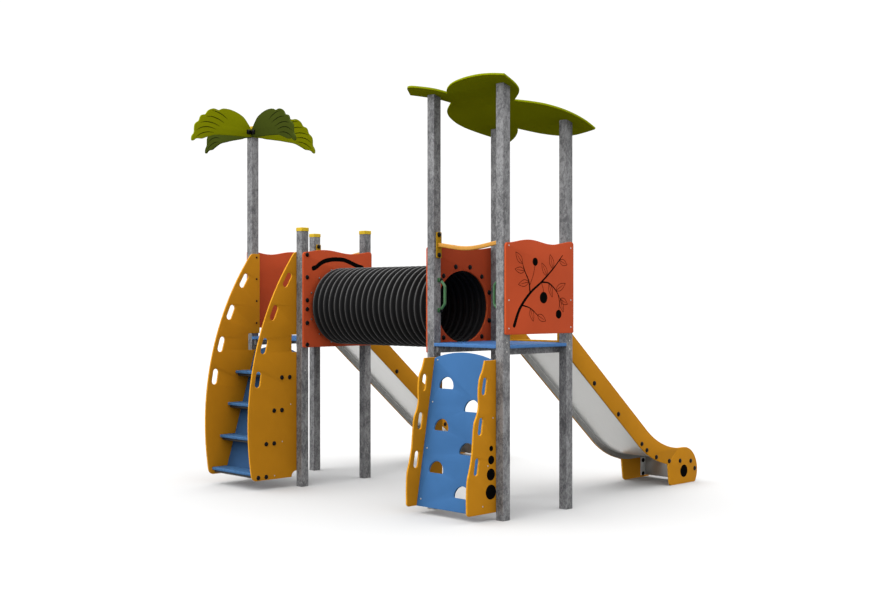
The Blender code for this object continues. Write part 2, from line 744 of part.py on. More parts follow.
def make_stair():
    """Two boards on the front posts, four treads on cross rods and a riser board."""
    side = stair_side_mesh()
    add("stair_side_outer", side, "yellow board", (LEFT_TOWER + BESIDE_POST, 0, 0), FACING_X)
    add("stair_side_inner", side.copy(), "yellow board", (LEFT_TOWER + BAY - BESIDE_POST, 0, 0), FACING_X)

    centre = LEFT_TOWER + BAY / 2
    width = STAIR_INSIDE - 2 * FIT
    for index in range(TREADS):
        top = DECK_TOP - TREAD_FIRST_DROP - index * TREAD_RISE
        nose = -HALF_POST - TREAD_FIRST_REACH - index * TREAD_RUN
        bottom = top - TREAD_THICKNESS
        back = nose + TREAD_DEPTH
        outline = rounded([(nose, top, TREAD_NOSE), (back, top, 0),
                           (back - STAIR_PITCH * TREAD_THICKNESS, bottom, 0), (nose, bottom, TREAD_NOSE)])
        number = str(TREADS - index)
        add("tread_" + number, plate(outline, width), "blue board", (centre, 0, 0), FACING_X)
        for place, from_nose in zip(("front", "rear"), ROD_FROM_NOSE):
            add("tread_rod_" + number + "_" + place, bar(width, ROD), "dark steel",
                (centre, nose + from_nose, bottom - FIT - ROD / 2), (0, math.radians(90), 0))

    first_top = DECK_TOP - TREAD_FIRST_DROP
    first_back = -HALF_POST - TREAD_FIRST_REACH + TREAD_DEPTH + FIT
    front = first_back - STAIR_PITCH * (first_top - RISER_BOTTOM)
    lean = math.atan(STAIR_PITCH)
    length = (DECK_UNDERSIDE - RISER_TOP_GAP - RISER_BOTTOM) / math.cos(lean)
    add_leaning("stair_riser_board", plate(crowned(length), BOARD), centre, front, RISER_BOTTOM, lean)


def climb_front(z):
    """Place in y of the climbing board's front face."""
    return -HALF_POST + CLIMB_SET_BACK - math.tan(CLIMB_LEAN) * (DECK_TOP - z)


def make_climbing_wall():
    """A leaning board with foot holes between two wavy boards on the front posts."""
    top = DECK_TOP - CLIMB_SIDE_TOP
    edge = [(-reach, z) for reach, z in CLIMB_EDGE]
    edge = smooth(edge, steps=3)
    toe = [(-CLIMB_EDGE[-1][0], CLIMB_BOTTOM, CLIMB_TOE_RADIUS)]
    corners = [(HALF_POST, CLIMB_BOTTOM, 0), (HALF_POST, top, 0),
               *[(y, z, 0) for y, z in edge], *toe]
    slots = []
    for index in range(CLIMB_SLOTS):
        down = index * CLIMB_SLOT_STEP
        z = DECK_TOP - CLIMB_SLOT_HIGH - down
        y = -HALF_POST - CLIMB_SLOT_REACH - CLIMB_SLOT_LEAN * down
        lean = math.degrees(CLIMB_LEAN)
        slots.append(slot((y, z), CLIMB_SLOT_LENGTH, CLIMB_SLOT_WIDTH, 90 - lean, steps=5))
    side = plate(rounded(corners), BOARD, slots)
    add("climb_side_inner", side, "yellow board", (RIGHT_TOWER + BESIDE_POST, 0, 0), FACING_X)
    add("climb_side_outer", side.copy(), "yellow board", (RIGHT_TOWER + BAY - BESIDE_POST, 0, 0), FACING_X)

    holes = []
    for index in range(FOOT_HOLES):
        side_step = FOOT_HOLE_SIDE if index % 2 == 0 else -FOOT_HOLE_SIDE
        centre = FOOT_HOLE_LOW + index * FOOT_HOLE_STEP
        low = centre - FOOT_HOLE_HEIGHT / 2
        dome = FOOT_HOLE_WIDTH / 2
        rise = FOOT_HOLE_HEIGHT - FOOT_HOLE_CORNER
        hole = [(side_step - dome, low, FOOT_HOLE_CORNER), (side_step + dome, low, FOOT_HOLE_CORNER)]
        hole.extend((side_step + dome * math.cos(math.radians(angle)),
                     low + FOOT_HOLE_CORNER + rise * math.sin(math.radians(angle)), 0)
                    for angle in range(15, 180, 15))
        holes.append(rounded(hole, steps=2))
    length = (DECK_UNDERSIDE - CLIMB_TOP_GAP - CLIMB_BOTTOM) / math.cos(CLIMB_LEAN)
    add_leaning("climb_board", plate(crowned(length), BOARD, holes), RIGHT_TOWER + BAY / 2,
                climb_front(CLIMB_BOTTOM), CLIMB_BOTTOM, CLIMB_LEAN)


def slide_bend():
    """The bend at the slide's foot in (y, z), from the slope to level, and its centre."""
    start = SLIDE_EXIT + SLIDE_BEND * (1 - math.cos(SLIDE_SLOPE))
    slope_end = BACK_FACE + SLIDE_LANDING + (DECK_TOP - start) / math.tan(SLIDE_SLOPE)
    centre = (slope_end + SLIDE_BEND * math.sin(SLIDE_SLOPE), SLIDE_EXIT + SLIDE_BEND)
    return arc(centre, SLIDE_BEND, 270 - math.degrees(SLIDE_SLOPE), 270, 10), centre


def slide_surface():
    """The sliding surface in (y, z): landing, eased entry, slope and bend."""
    bend = slide_bend()[0]
    entry = (BACK_FACE + SLIDE_LANDING, DECK_TOP, SLIDE_ENTRY_RADIUS)
    return [*rounded([(BACK_FACE + FIT, DECK_TOP, 0), entry, (*bend[0], 0)]), *bend[1:]]


def cheek_top():
    """Start of the cheek's top edge over the bend, and the centre of its arc."""
    normal = Vector((math.sin(SLIDE_SLOPE), math.cos(SLIDE_SLOPE)))
    start = Vector(slide_bend()[0][0]) + normal * CHEEK_ABOVE
    return start, start + normal * SLIDE_BEND


def cheek_top_level(y):
    """Height of the cheek's top edge at a place over the bend."""
    centre = cheek_top()[1]
    return centre.y - math.sqrt(SLIDE_BEND ** 2 - (centre.x - y) ** 2)


def seam():
    """The joint between cheek and foot board, from the top edge down to the heel."""
    centre = slide_bend()[1]
    top = (centre[0] + SEAM_TOP, cheek_top_level(centre[0] + SEAM_TOP))
    heel = (centre[0] - SEAM_BACK, centre[1] - math.sqrt((SLIDE_BEND + CHEEK_BELOW) ** 2 - SEAM_BACK ** 2))
    middle = tuple(low + (high - low) * share for low, high, share in zip(heel, top, SEAM_STEER))
    return smooth([top, middle, heel], steps=3)


def cheek_outline():
    """A cheek in (y, z): a band along the bed, square at the deck and cut at the seam."""
    centre = slide_bend()[1]
    front = BACK_FACE + FIT
    start = cheek_top()[0]
    joint = seam()
    count = 8
    places = [start.x + (joint[0][0] - start.x) * step / count for step in range(count)]
    top_edge = [(y, cheek_top_level(y), 0) for y in places]
    top_corner = start.y + math.tan(SLIDE_SLOPE) * (start.x - front)

    low_edge = arc(centre, SLIDE_BEND + CHEEK_BELOW, 270 - math.degrees(SLIDE_SLOPE),
                   270 - math.degrees(math.asin(SEAM_BACK / (SLIDE_BEND + CHEEK_BELOW))), 8)
    low_level = DECK_TOP - CHEEK_START_DROP
    low_turn = low_edge[0][0] - (low_level - low_edge[0][1]) / math.tan(SLIDE_SLOPE)
    corners = [(front, low_level, 0), (front, top_corner, CHEEK_HEAD_RADIUS), *top_edge,
               *[(y, z, 0) for y, z in joint], *[(y, z, 0) for y, z in reversed(low_edge[:-1])],
               (low_turn, low_level, 0)]
    return rounded(corners)


def foot_outline():
    """A foot board in (y, z): a nose round the disc, a flat base and the cheek's seam."""
    centre = slide_bend()[1]
    disc = (centre[0] + FOOT_DISC_FORWARD, FOOT_DISC_HEIGHT)
    ground = math.asin(FOOT_DISC_HEIGHT / FOOT_RADIUS)
    nose = arc(disc, FOOT_RADIUS, 90, math.degrees(FOOT_NOSE_STOP - ground), 10)
    toe = disc[0] + FOOT_RADIUS * math.cos(ground)
    joint = [(y + FIT, z - FIT) for y, z in seam()]
    heel = centre[0] - FOOT_HEEL
    return rounded([*[(y, z, 0) for y, z in nose], (toe, 0, FOOT_TOE_RADIUS), (heel, 0, FOOT_HEEL_RADIUS),
                    *[(y, z, 0) for y, z in reversed(joint)]])


def make_slide(side, tower):
    """One slide behind a tower: bed, cheeks, foot boards and a strip over the entry."""
    middle = tower + BAY / 2
    centre = slide_bend()[1]
    front = BACK_FACE + FIT
    half = SLIDE_INSIDE / 2
    half_bed = half - FIT
    run_out = centre[0] + SLIDE_RUN_OUT
    roll = arc((run_out, SLIDE_EXIT - SLIDE_ROLL), SLIDE_ROLL, 90, 0, 5)
    tail = (roll[-1][0], roll[-1][1] - SLIDE_ROLL / 2)
    surface = [(front, DECK_TOP - BED_START_FLANGE), *slide_surface(), *roll, tail]
    bed = add("slide_bed_" + side, plate(ribbon(surface, BED_SHEET), 2 * half_bed),
              "stainless steel", (middle, 0, 0), FACING_X)

    lapped = [(front + BED_LAP, DECK_TOP), *slide_surface()[1:], (run_out - BED_SHEET, SLIDE_EXIT)]
    flange = ribbon(offset(lapped, BED_LAP), BED_FLANGE - BED_LAP)
    web = centre[0] + FOOT_DISC_FORWARD + BRACE_FROM_DISC
    brace = box_outline((web - BRACE_FLANGE, BRACE_LOW), (web, BRACE_HIGH), BRACE_CORNER)
    for direction in (-1, 1):
        for outline, laps in ((flange, 1), (brace, 2)):
            x = middle + direction * (half_bed - laps * BED_LAP - BED_SHEET / 2)
            shape(bed, "UNION", plate(outline, BED_SHEET), (x, 0, 0), FACING_X)
    reach = half_bed - 3 * BED_LAP
    low = (middle - reach, web - BED_LAP - BED_SHEET, BRACE_LOW + BRACE_CORNER)
    high = (middle + reach, web - BED_LAP, SLIDE_EXIT - BED_SHEET / 2)
    shape(bed, "UNION", block(low, high))

    off_middle = half + BOARD / 2
    for direction, place in ((-1, "inner"), (1, "outer")):
        x = middle + direction * off_middle
        add("slide_cheek_" + side + "_" + place, plate(cheek_outline(), BOARD), "yellow board",
            (x, 0, 0), FACING_X)
        add("slide_foot_" + side + "_" + place, plate(foot_outline(), BOARD), "yellow board",
            (x, 0, 0), FACING_X)

    bottom = DECK_TOP + FIT
    strip = rounded([(front, bottom, 0), (front, bottom + ENTRY_STRIP, ENTRY_STRIP_EDGE),
                     (front + ENTRY_STRIP_DEPTH - ENTRY_STRIP, bottom + ENTRY_STRIP, ENTRY_STRIP_NOSE),
                     (front + ENTRY_STRIP_DEPTH, bottom, 0)], steps=3)
    add("slide_entry_strip_" + side, plate(strip, 2 * half_bed), "yellow board",
        (middle, 0, 0), FACING_X)


def make_roof():
    """A flat sheet of four leaves lying on the mitred posts of the right tower."""
    outline = []
    for lobe in ROOF_LOBES:
        outline.extend(smooth(lobe, steps=3)[:-1])
    normal = Vector((0, math.sin(ROOF_SLOPE), math.cos(ROOF_SLOPE)))
    seat = Vector((RIGHT_TOWER + BAY / 2, BAY / 2, roof_underside(BAY / 2)))
    add("roof", plate(outline, BOARD), "green board", seat + normal * BOARD / 2, (-ROOF_SLOPE, 0, 0))


def leaf_outline(slot_at, slot_from_top):
    """A palm board, both sides alike, with its halving slot."""
    lobe = []
    for leaflet in LEAFLETS:
        lobe.extend(smooth(leaflet, steps=3)[:-1])
    lobe.append(LEAFLETS[-1][-1])
    left = [(-reach, rise) for reach, rise in reversed(lobe)]
    half_slot = BOARD / 2 + FIT
    level = PALM_HUB_HEIGHT / 2
    if slot_from_top:
        edge, depth = PALM_HUB_HEIGHT, level - FIT / 2
        cut = [(slot_at - half_slot, edge), (slot_at - half_slot, depth),
               (slot_at + half_slot, depth), (slot_at + half_slot, edge)]
        return [*left, *cut, *lobe]
    edge, depth = 0, level + FIT / 2
    cut = [(slot_at + half_slot, edge), (slot_at + half_slot, depth),
           (slot_at - half_slot, depth), (slot_at - half_slot, edge)]
    return [*left, *lobe, *cut]


def make_palm():
    """Two crossed palm boards on the front and inner faces of the tallest post."""
    hub_bottom = DECK_TOP + PALM_POST_RISE - PALM_HUB_HEIGHT - PALM_HUB_DROP
    add("palm_leaf_along_y", plate(leaf_outline(-BESIDE_POST, False), BOARD), "green board",
        (LEFT_TOWER + BESIDE_POST, 0, hub_bottom), FACING_X)
    add("palm_leaf_along_x", plate(leaf_outline(BESIDE_POST, True), BOARD), "dark green board",
        (LEFT_TOWER, -BESIDE_POST, hub_bottom), FACING_Y)

    sheet, leg = PALM_ANGLE, PALM_ANGLE_LEG
    outline = [(0, 0), (0, -leg), (sheet, -leg), (sheet, -sheet), (leg, -sheet), (leg, 0)]
    corner = BESIDE_POST + BOARD / 2 + FIT
    add("palm_bracket", plate(outline, PALM_ANGLE_HEIGHT), "dark steel",
        (LEFT_TOWER + corner, -corner, hub_bottom + PALM_ANGLE_RISE + PALM_ANGLE_HEIGHT / 2))


def stand_on_origin():
    """Move the site so that the bounding box stands centred on the world origin."""
    bpy.context.view_layer.update()
    depsgraph = bpy.context.evaluated_depsgraph_get()
    corners = []
    for obj in PARTS.objects:
        if obj.type != "MESH":
            continue
        mesh = obj.evaluated_get(depsgraph).to_mesh()
        corners.extend(obj.matrix_world @ vertex.co for vertex in mesh.vertices)
        obj.evaluated_get(depsgraph).to_mesh_clear()
    low = [min(corner[axis] for corner in corners) for axis in range(3)]
    high = [max(corner[axis] for corner in corners) for axis in range(3)]
    SITE.location = (-(low[0] + high[0]) / 2, -(low[1] + high[1]) / 2, -low[2])
    bpy.context.view_layer.update()
    print("size", [round(top - bottom, 4) for bottom, top in zip(low, high)])
    print("palm post at", [round(value, 5) for value in SITE.location])


make_posts()
make_caps()
make_deck("left", LEFT_TOWER)
make_deck("right", RIGHT_TOWER)
make_panels()
make_tunnel()
make_guard_rail("guard_rail_climb_side", RIGHT_TOWER, 0)
make_guard_rail("guard_rail_slide_left", LEFT_TOWER, BAY)
make_guard_rail("guard_rail_slide_right", RIGHT_TOWER, BAY)
make_handle("handle_inner", RIGHT_TOWER + HALF_POST, 1)
make_handle("handle_outer", RIGHT_TOWER + BAY - HALF_POST, -1)
make_stair()
make_climbing_wall()
make_slide("left", LEFT_TOWER)
make_slide("right", RIGHT_TOWER)
make_roof()
make_palm()
stand_on_origin()
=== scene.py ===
import math

import bmesh
import bpy
import numpy as np
from mathutils import Matrix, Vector
from mathutils.geometry import tessellate_polygon


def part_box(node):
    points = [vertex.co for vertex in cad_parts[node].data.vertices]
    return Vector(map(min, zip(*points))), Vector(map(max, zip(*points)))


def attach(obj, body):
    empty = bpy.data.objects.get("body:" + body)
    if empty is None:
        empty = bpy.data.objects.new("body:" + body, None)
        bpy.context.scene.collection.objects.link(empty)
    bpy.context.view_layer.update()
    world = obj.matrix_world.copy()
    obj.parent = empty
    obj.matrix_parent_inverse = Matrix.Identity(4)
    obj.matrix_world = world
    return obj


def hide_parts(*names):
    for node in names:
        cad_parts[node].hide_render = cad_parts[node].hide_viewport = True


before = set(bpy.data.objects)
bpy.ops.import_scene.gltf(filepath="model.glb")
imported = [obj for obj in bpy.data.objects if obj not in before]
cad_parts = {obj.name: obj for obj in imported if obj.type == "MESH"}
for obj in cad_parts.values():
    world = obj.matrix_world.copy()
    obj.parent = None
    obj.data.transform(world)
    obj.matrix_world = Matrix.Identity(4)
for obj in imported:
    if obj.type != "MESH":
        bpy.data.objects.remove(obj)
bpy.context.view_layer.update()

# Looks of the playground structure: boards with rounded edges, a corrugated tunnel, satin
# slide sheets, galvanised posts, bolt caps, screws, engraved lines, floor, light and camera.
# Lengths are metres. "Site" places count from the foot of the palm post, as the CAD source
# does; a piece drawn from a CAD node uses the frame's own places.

X_AXIS = np.array([1.0, 0.0, 0.0])
Y_AXIS = np.array([0.0, 1.0, 0.0])
Z_AXIS = np.array([0.0, 0.0, 1.0])


def box_of(node):
    """Lowest and highest corner and middle of a CAD node, as arrays."""
    low, high = (np.array(corner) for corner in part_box(node))
    return low, high, (low + high) / 2


ORIGIN = np.zeros(3)
# Where the palm post's foot stands in the frame.
SITE = box_of("left_post_front_outer")[2] * (1, 1, 0)

# Sizes that the fittings share with the CAD source.
POST = 0.090
POST_CORNER = 0.006
HALF_POST = POST / 2
BOARD = 0.019
FIT = 0.0003
BAY = 0.860
RIGHT = 2.802
DECK_TOP = 1.530
BACK_FACE = BAY + HALF_POST
TUNNEL_AXIS = 1.8615
TREADS = 4
TREAD_RISE = 0.333
TREAD_RUN = 0.099
SLIDE_INSIDE = 0.572
CLIMB_LEAN = math.radians(9.81)
RISER_LEAN = math.atan(TREAD_RUN / TREAD_RISE)
ROOF_SLOPE = math.radians(15.1)
TOWERS = (("left", 0.0), ("right", RIGHT))

# Faces on which fittings stand, as places along X on the site.
LEFT_PANEL_IN = BAY + HALF_POST + FIT
LEFT_PANEL_OUT = LEFT_PANEL_IN + BOARD
RIGHT_PANEL_IN = RIGHT - HALF_POST - FIT
RIGHT_PANEL_OUT = RIGHT_PANEL_IN - BOARD
BACK_PANEL_FACE = -HALF_POST - FIT - BOARD
PICTURE_FACE = RIGHT + BAY + HALF_POST + FIT + BOARD

# Limits of the shape maths: when a normal counts as upright, a triangle as empty, a corner as
# too sharp to mitre fully, points as the same, and a point as lying in a board's face.
UPRIGHT = 0.99
NO_AREA = 1e-12
MITRE_LIMIT = 0.45
WELD = 1e-6
WELD_DIGITS = 5
FACE_DEPTH = 2e-4


# Surfaces.


class Form:
    """Surfaces that make up one piece, gathered with the place they count from.

    Each surface has points, faces as index rows, a flag for faces that stay flat, and at each
    point a rim value from 0 to 1 that its finish may read.
    """

    def __init__(self, origin=ORIGIN):
        self.origin = origin
        self.points = []
        self.faces = []
        self.smooth = []
        self.rim = []
        self.count = 0

    def add(self, points, faces, smooth=True, rim=0.0):
        """Take in one surface; its faces count from its own first point."""
        points = np.asarray(points, float).reshape(-1, 3)
        for rows, soft in zip(faces, np.broadcast_to(smooth, len(faces))):
            self.faces.extend((np.asarray(rows) + self.count).tolist())
            self.smooth.extend([bool(soft)] * len(rows))
        self.points.append(points + self.origin)
        self.rim.append(np.broadcast_to(rim, len(points)).astype(float))
        self.count += len(points)
        return self


def unit(vectors):
    """Vectors scaled to length one."""
    vectors = np.asarray(vectors, float)
    return vectors / np.linalg.norm(vectors, axis=-1, keepdims=True)


def plane_axes(normal):
    """Two axes u, v across a normal, so that u x v is the normal and v climbs."""
    normal = unit(normal)
    up = Y_AXIS if abs(normal[2]) > UPRIGHT else Z_AXIS
    v = unit(up - np.dot(up, normal) * normal)
    return np.cross(v, normal), v, normal


def ring_faces(rows, columns, ring=None):
    """Quads of a grid of rows x columns points, round all its columns or those of one ring."""
    across = np.arange(columns) if ring is None else ring
    ahead = np.roll(across, -1)
    down = np.arange(rows - 1)[:, None] * columns
    quads = [down + across, down + across + columns, down + ahead + columns, down + ahead]
    return np.stack(quads, -1).reshape(-1, 4)


def fill(loops):
    """Triangles over a flat outline and its holes, all turned the way the outline runs."""
    flat = np.vstack(loops)
    corners = np.array(tessellate_polygon([[(x, y, 0.0) for x, y in loop] for loop in loops]))
    a, b, c = (flat[corners[:, k]] for k in range(3))
    area = (b[:, 0] - a[:, 0]) * (c[:, 1] - a[:, 1]) - (b[:, 1] - a[:, 1]) * (c[:, 0] - a[:, 0])
    corners[area < 0] = corners[area < 0][:, ::-1]
    return corners[np.abs(area) > NO_AREA]


def inward(loop):
    """At each point of a closed outline, the mitred way into the material on its left."""
    along = unit(np.roll(loop, -1, 0) - loop)
    left = np.stack([-along[:, 1], along[:, 0]], -1)
    mitre = unit(left + np.roll(left, 1, 0))
    stretch = np.clip((mitre * left).sum(-1), MITRE_LIMIT, 1.0)
    return mitre / stretch[:, None]


def carry(form, loops, rows, base, normal, rim=None):
    """Carry a profile round flat outlines and fill both of its ends.

    Row k of the profile is (inset, height): its points are outline + inset * inward, lifted
    by height along the normal from the base point. Without a rim value, the rows of the edge
    have 1 and those next to the two faces have 0.
    """
    u, v, normal = plane_axes(normal)
    rows = np.asarray(rows, float)
    mitres = [inward(loop) for loop in loops]
    starts = np.cumsum([0] + [len(loop) for loop in loops])
    planar = np.vstack(loops) + np.vstack(mitres) * rows[:, 0, None, None]
    points = (base + planar[..., 0, None] * u + planar[..., 1, None] * v
              + rows[:, 1, None, None] * normal)
    total = starts[-1]
    walls = [ring_faces(len(rows), total, np.arange(first, last))
             for first, last in zip(starts, starts[1:])]
    top, bottom = (fill([loop + mitre * inset for loop, mitre in zip(loops, mitres)])
                   for inset in rows[[0, -1], 0])
    bottom = bottom[:, ::-1] + total * (len(rows) - 1)
    if rim is None:
        rim = np.ones(len(rows))
        rim[[0, -1]] = 0
    return form.add(points, [np.vstack(walls), top, bottom], smooth=[True, False, False],
                    rim=np.repeat(np.broadcast_to(rim, len(rows)), total))


def rounded_rows(low, high, radius, steps=3):
    """Profile of a board's edge: a quarter round at the upper face and one at the lower."""
    angle = np.linspace(0, np.pi / 2, steps + 1)
    inset = radius * (1 - np.sin(angle))
    drop = radius * (1 - np.cos(angle))
    upper = np.stack([inset, high - drop], -1)
    lower = np.stack([inset[::-1], low + drop[::-1]], -1)
    return np.vstack([upper, lower])


def lathe(profile, centre, axis, sides):
    """Surface of revolution: centre + h axis + r (cos a u + sin a v), for profile rows (r, h)."""
    u, v, axis = plane_axes(axis)
    profile = np.asarray(profile, float)
    angle = np.arange(sides) * 2 * np.pi / sides
    spoke = np.cos(angle)[:, None] * u + np.sin(angle)[:, None] * v
    points = centre + profile[:, 1, None, None] * axis + profile[:, 0, None, None] * spoke
    return points.reshape(-1, 3), ring_faces(len(profile), sides)


def sweep(form, path, side, section, rim=0.0):
    """A closed section (a, b) carried along a flat path: path + a side + b (tangent x side)."""
    path = np.asarray(path, float)
    section = np.asarray(section, float)
    tangent = unit(np.gradient(path, axis=0))
    over = np.cross(tangent, side)
    points = path[:, None] + section[:, 0, None] * side + section[:, 1, None] * over[:, None]
    end = fill([section])
    last = len(section) * (len(path) - 1)
    return form.add(points, [ring_faces(len(path), len(section)), end, end[:, ::-1] + last],
                    smooth=[True, False, False], rim=rim)


def spline(points, steps):
    """A smooth curve through points (Catmull-Rom), computed for all its spans at once."""
    knots = np.asarray(points, float)
    knots = np.vstack([2 * knots[0] - knots[1], knots, 2 * knots[-1] - knots[-2]])
    a, b, c, d = (part[:, None] for part in (knots[:-3], knots[1:-2], knots[2:-1], knots[3:]))
    t = (np.arange(steps) / steps)[None, :, None]
    curve = 0.5 * (2 * b + (c - a) * t + (2 * a - 5 * b + 4 * c - d) * t ** 2
                   + (3 * b - a - 3 * c + d) * t ** 3)
    return np.vstack([curve.reshape(-1, knots.shape[1]), knots[-2:-1]])


def turned(centre, radius, start, end, steps):
    """Points on an arc between two angles in degrees."""
    angle = np.radians(np.linspace(start, end, steps + 1))
    return np.stack([centre[0] + radius * np.cos(angle), centre[1] + radius * np.sin(angle)], -1)


def bend(corners, radius, steps=8):
    """A flat path through corners, each inner one turned on an arc of the same radius."""
    corners = np.asarray(corners, float)
    path = [corners[:1]]
    for before, corner, after in zip(corners, corners[1:], corners[2:]):
        back, ahead = unit(before - corner), unit(after - corner)
        half = math.acos(np.clip(np.dot(back, ahead), -1, 1)) / 2
        centre = corner + unit(back + ahead) * radius / math.sin(half)
        first = corner + back * radius / math.tan(half) - centre
        last = corner + ahead * radius / math.tan(half) - centre
        share = np.linspace(0, 1, steps + 1)[:, None]
        sweep_angle = math.acos(np.clip(np.dot(unit(first), unit(last)), -1, 1))
        path.append(centre + (np.sin((1 - share) * sweep_angle) * first
                              + np.sin(share * sweep_angle) * last) / math.sin(sweep_angle))
    path.append(corners[-1:])
    return np.vstack(path)


def circle(centre, radius, sides):
    """A circle as a closed outline."""
    return turned(centre, radius, 0, 360, sides)[:-1]


def bar_section(width, height, radius, steps):
    """A rectangle with rounded corners as a closed section."""
    x, y = width / 2 - radius, height / 2 - radius
    centres = ((x, y), (-x, y), (-x, -y), (x, -y))
    return np.vstack([turned(centre, radius, 90 * quarter, 90 * quarter + 90, steps)
                      for quarter, centre in enumerate(centres)])


def stroke(points, widths, steps=10):
    """Outline of a drawn line: a smooth centre line, half its width to each side, round ends."""
    line = spline(points, steps)
    width = spline(np.asarray(widths, float)[:, None], steps)[:, 0]
    tangent = unit(np.gradient(line, axis=0))
    left = np.stack([-tangent[:, 1], tangent[:, 0]], -1) * (width / 2)[:, None]
    head, tail = (math.degrees(math.atan2(way[1], way[0])) for way in tangent[[-1, 0]])
    head_end = turned(line[-1], width[-1] / 2, head - 90, head + 90, 6)[1:-1]
    tail_end = turned(line[0], width[0] / 2, tail + 90, tail + 270, 6)[1:-1]
    return np.vstack([line - left, head_end, (line + left)[::-1], tail_end])


# Outlines of the CAD boards.


def walk(following, start):
    """The points of one closed loop, found by doubling the step of the walk round it."""
    path, jump = np.array([start]), following
    while True:
        path = np.concatenate([path, jump[path]])
        home = np.flatnonzero(path[1:] == start)
        if len(home):
            return path[:home[0] + 1]
        jump = jump[jump]


def node_outline(node, normal):
    """The outlines of the flat face that a CAD board turns towards a normal, and its levels.

    The face's triangles share every edge but those on its rim, so the unshared edges, put
    end to end, are the outline and its holes, with the board always on their left.
    """
    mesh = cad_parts[node].data
    mesh.calc_loop_triangles()
    points = np.empty(len(mesh.vertices) * 3)
    mesh.vertices.foreach_get("co", points)
    corners = np.empty(len(mesh.loop_triangles) * 3, int)
    mesh.loop_triangles.foreach_get("vertices", corners)
    points, same = np.unique(np.round(points.reshape(-1, 3), WELD_DIGITS), axis=0, return_inverse=True)
    corners = same.reshape(-1)[corners].reshape(-1, 3)
    u, v, normal = plane_axes(normal)
    level = points @ normal
    corners = corners[(level[corners] > level.max() - FACE_DEPTH).all(1)]
    edges = np.vstack([corners[:, [0, 1]], corners[:, [1, 2]], corners[:, [2, 0]]])
    edges = edges[edges[:, 0] != edges[:, 1]]
    code = edges[:, 0] * len(points) + edges[:, 1]
    twin = edges[:, 1] * len(points) + edges[:, 0]
    rim = edges[~np.isin(code, twin)]
    following = np.arange(len(points))
    following[rim[:, 0]] = rim[:, 1]
    planar = np.stack([points @ u, points @ v], -1)
    left, loops = np.unique(rim[:, 0]), []
    while len(left):
        loop = walk(following, left[0])
        loops.append(planar[loop])
        left = np.setdiff1d(left, loop)
    loops.sort(key=lambda loop: -np.ptp(loop[:, 0]) * np.ptp(loop[:, 1]))
    return loops, level.min(), level.max()


def refine(loop, parts=3, corner=50, straight=2.5):
    """Turn an outline's chords into curves (Hermite), with its real corners kept.

    A point that turns by more than `corner` degrees keeps both of its directions. Where a
    long side meets a short one, the side's direction holds, and elsewhere the direction is
    that of the circle through the point and its neighbours. The curve keeps to the outline's
    own box.
    """
    chord = np.roll(loop, -1, 0) - loop
    length = np.linalg.norm(chord, axis=1)[:, None]
    ahead = chord / length
    behind, back = np.roll(ahead, 1, 0), np.roll(length, 1, 0)
    smooth = unit(behind * length + ahead * back)
    way = np.where(back > straight * length, behind, smooth)
    way = np.where(length > straight * back, ahead, way)
    sharp = (ahead * behind).sum(1, keepdims=True) < math.cos(math.radians(corner))
    leave = np.where(sharp, ahead, way) * length
    arrive = np.roll(np.where(sharp, behind, way), -1, 0) * length
    t = (np.arange(parts) / parts)[None, :, None]
    start, end = loop[:, None], np.roll(loop, -1, 0)[:, None]
    curve = ((2 * t ** 3 - 3 * t ** 2 + 1) * start + (t ** 3 - 2 * t ** 2 + t) * leave[:, None]
             + (3 * t ** 2 - 2 * t ** 3) * end + (t ** 3 - t ** 2) * arrive[:, None])
    return np.clip(curve.reshape(-1, 2), loop.min(0), loop.max(0))


def board_form(node, normal, radius):
    """A CAD board again, with smooth curves and rounded edges."""
    loops, low, high = node_outline(node, normal)
    loops = [refine(loop) for loop in loops]
    return carry(Form(), loops, rounded_rows(low, high, radius), ORIGIN, normal)


# Finishes.


class Value:
    """A shader socket that takes Python's arithmetic, one Math node for each step."""

    def __init__(self, finish, socket):
        self.finish = finish
        self.socket = socket

    def math(self, operation, first, second):
        """A Math node on two values, one of them this one."""
        return self.finish.node("Math", {"operation": operation}, {0: first, 1: second})

    def __add__(self, other):
        return self.math("ADD", self, other)

    def __sub__(self, other):
        return self.math("SUBTRACT", self, other)

    def __rsub__(self, other):
        return self.math("SUBTRACT", other, self)

    def __mul__(self, other):
        return self.math("MULTIPLY", self, other)

    __radd__ = __add__
    __rmul__ = __mul__

    def above(self, edge, width):
        """0 below an edge value and 1 above it, smooth over a width."""
        values = {0: self, 1: edge - width / 2, 2: edge + width / 2}
        return self.finish.node("MapRange", {"interpolation_type": "SMOOTHSTEP"}, values)


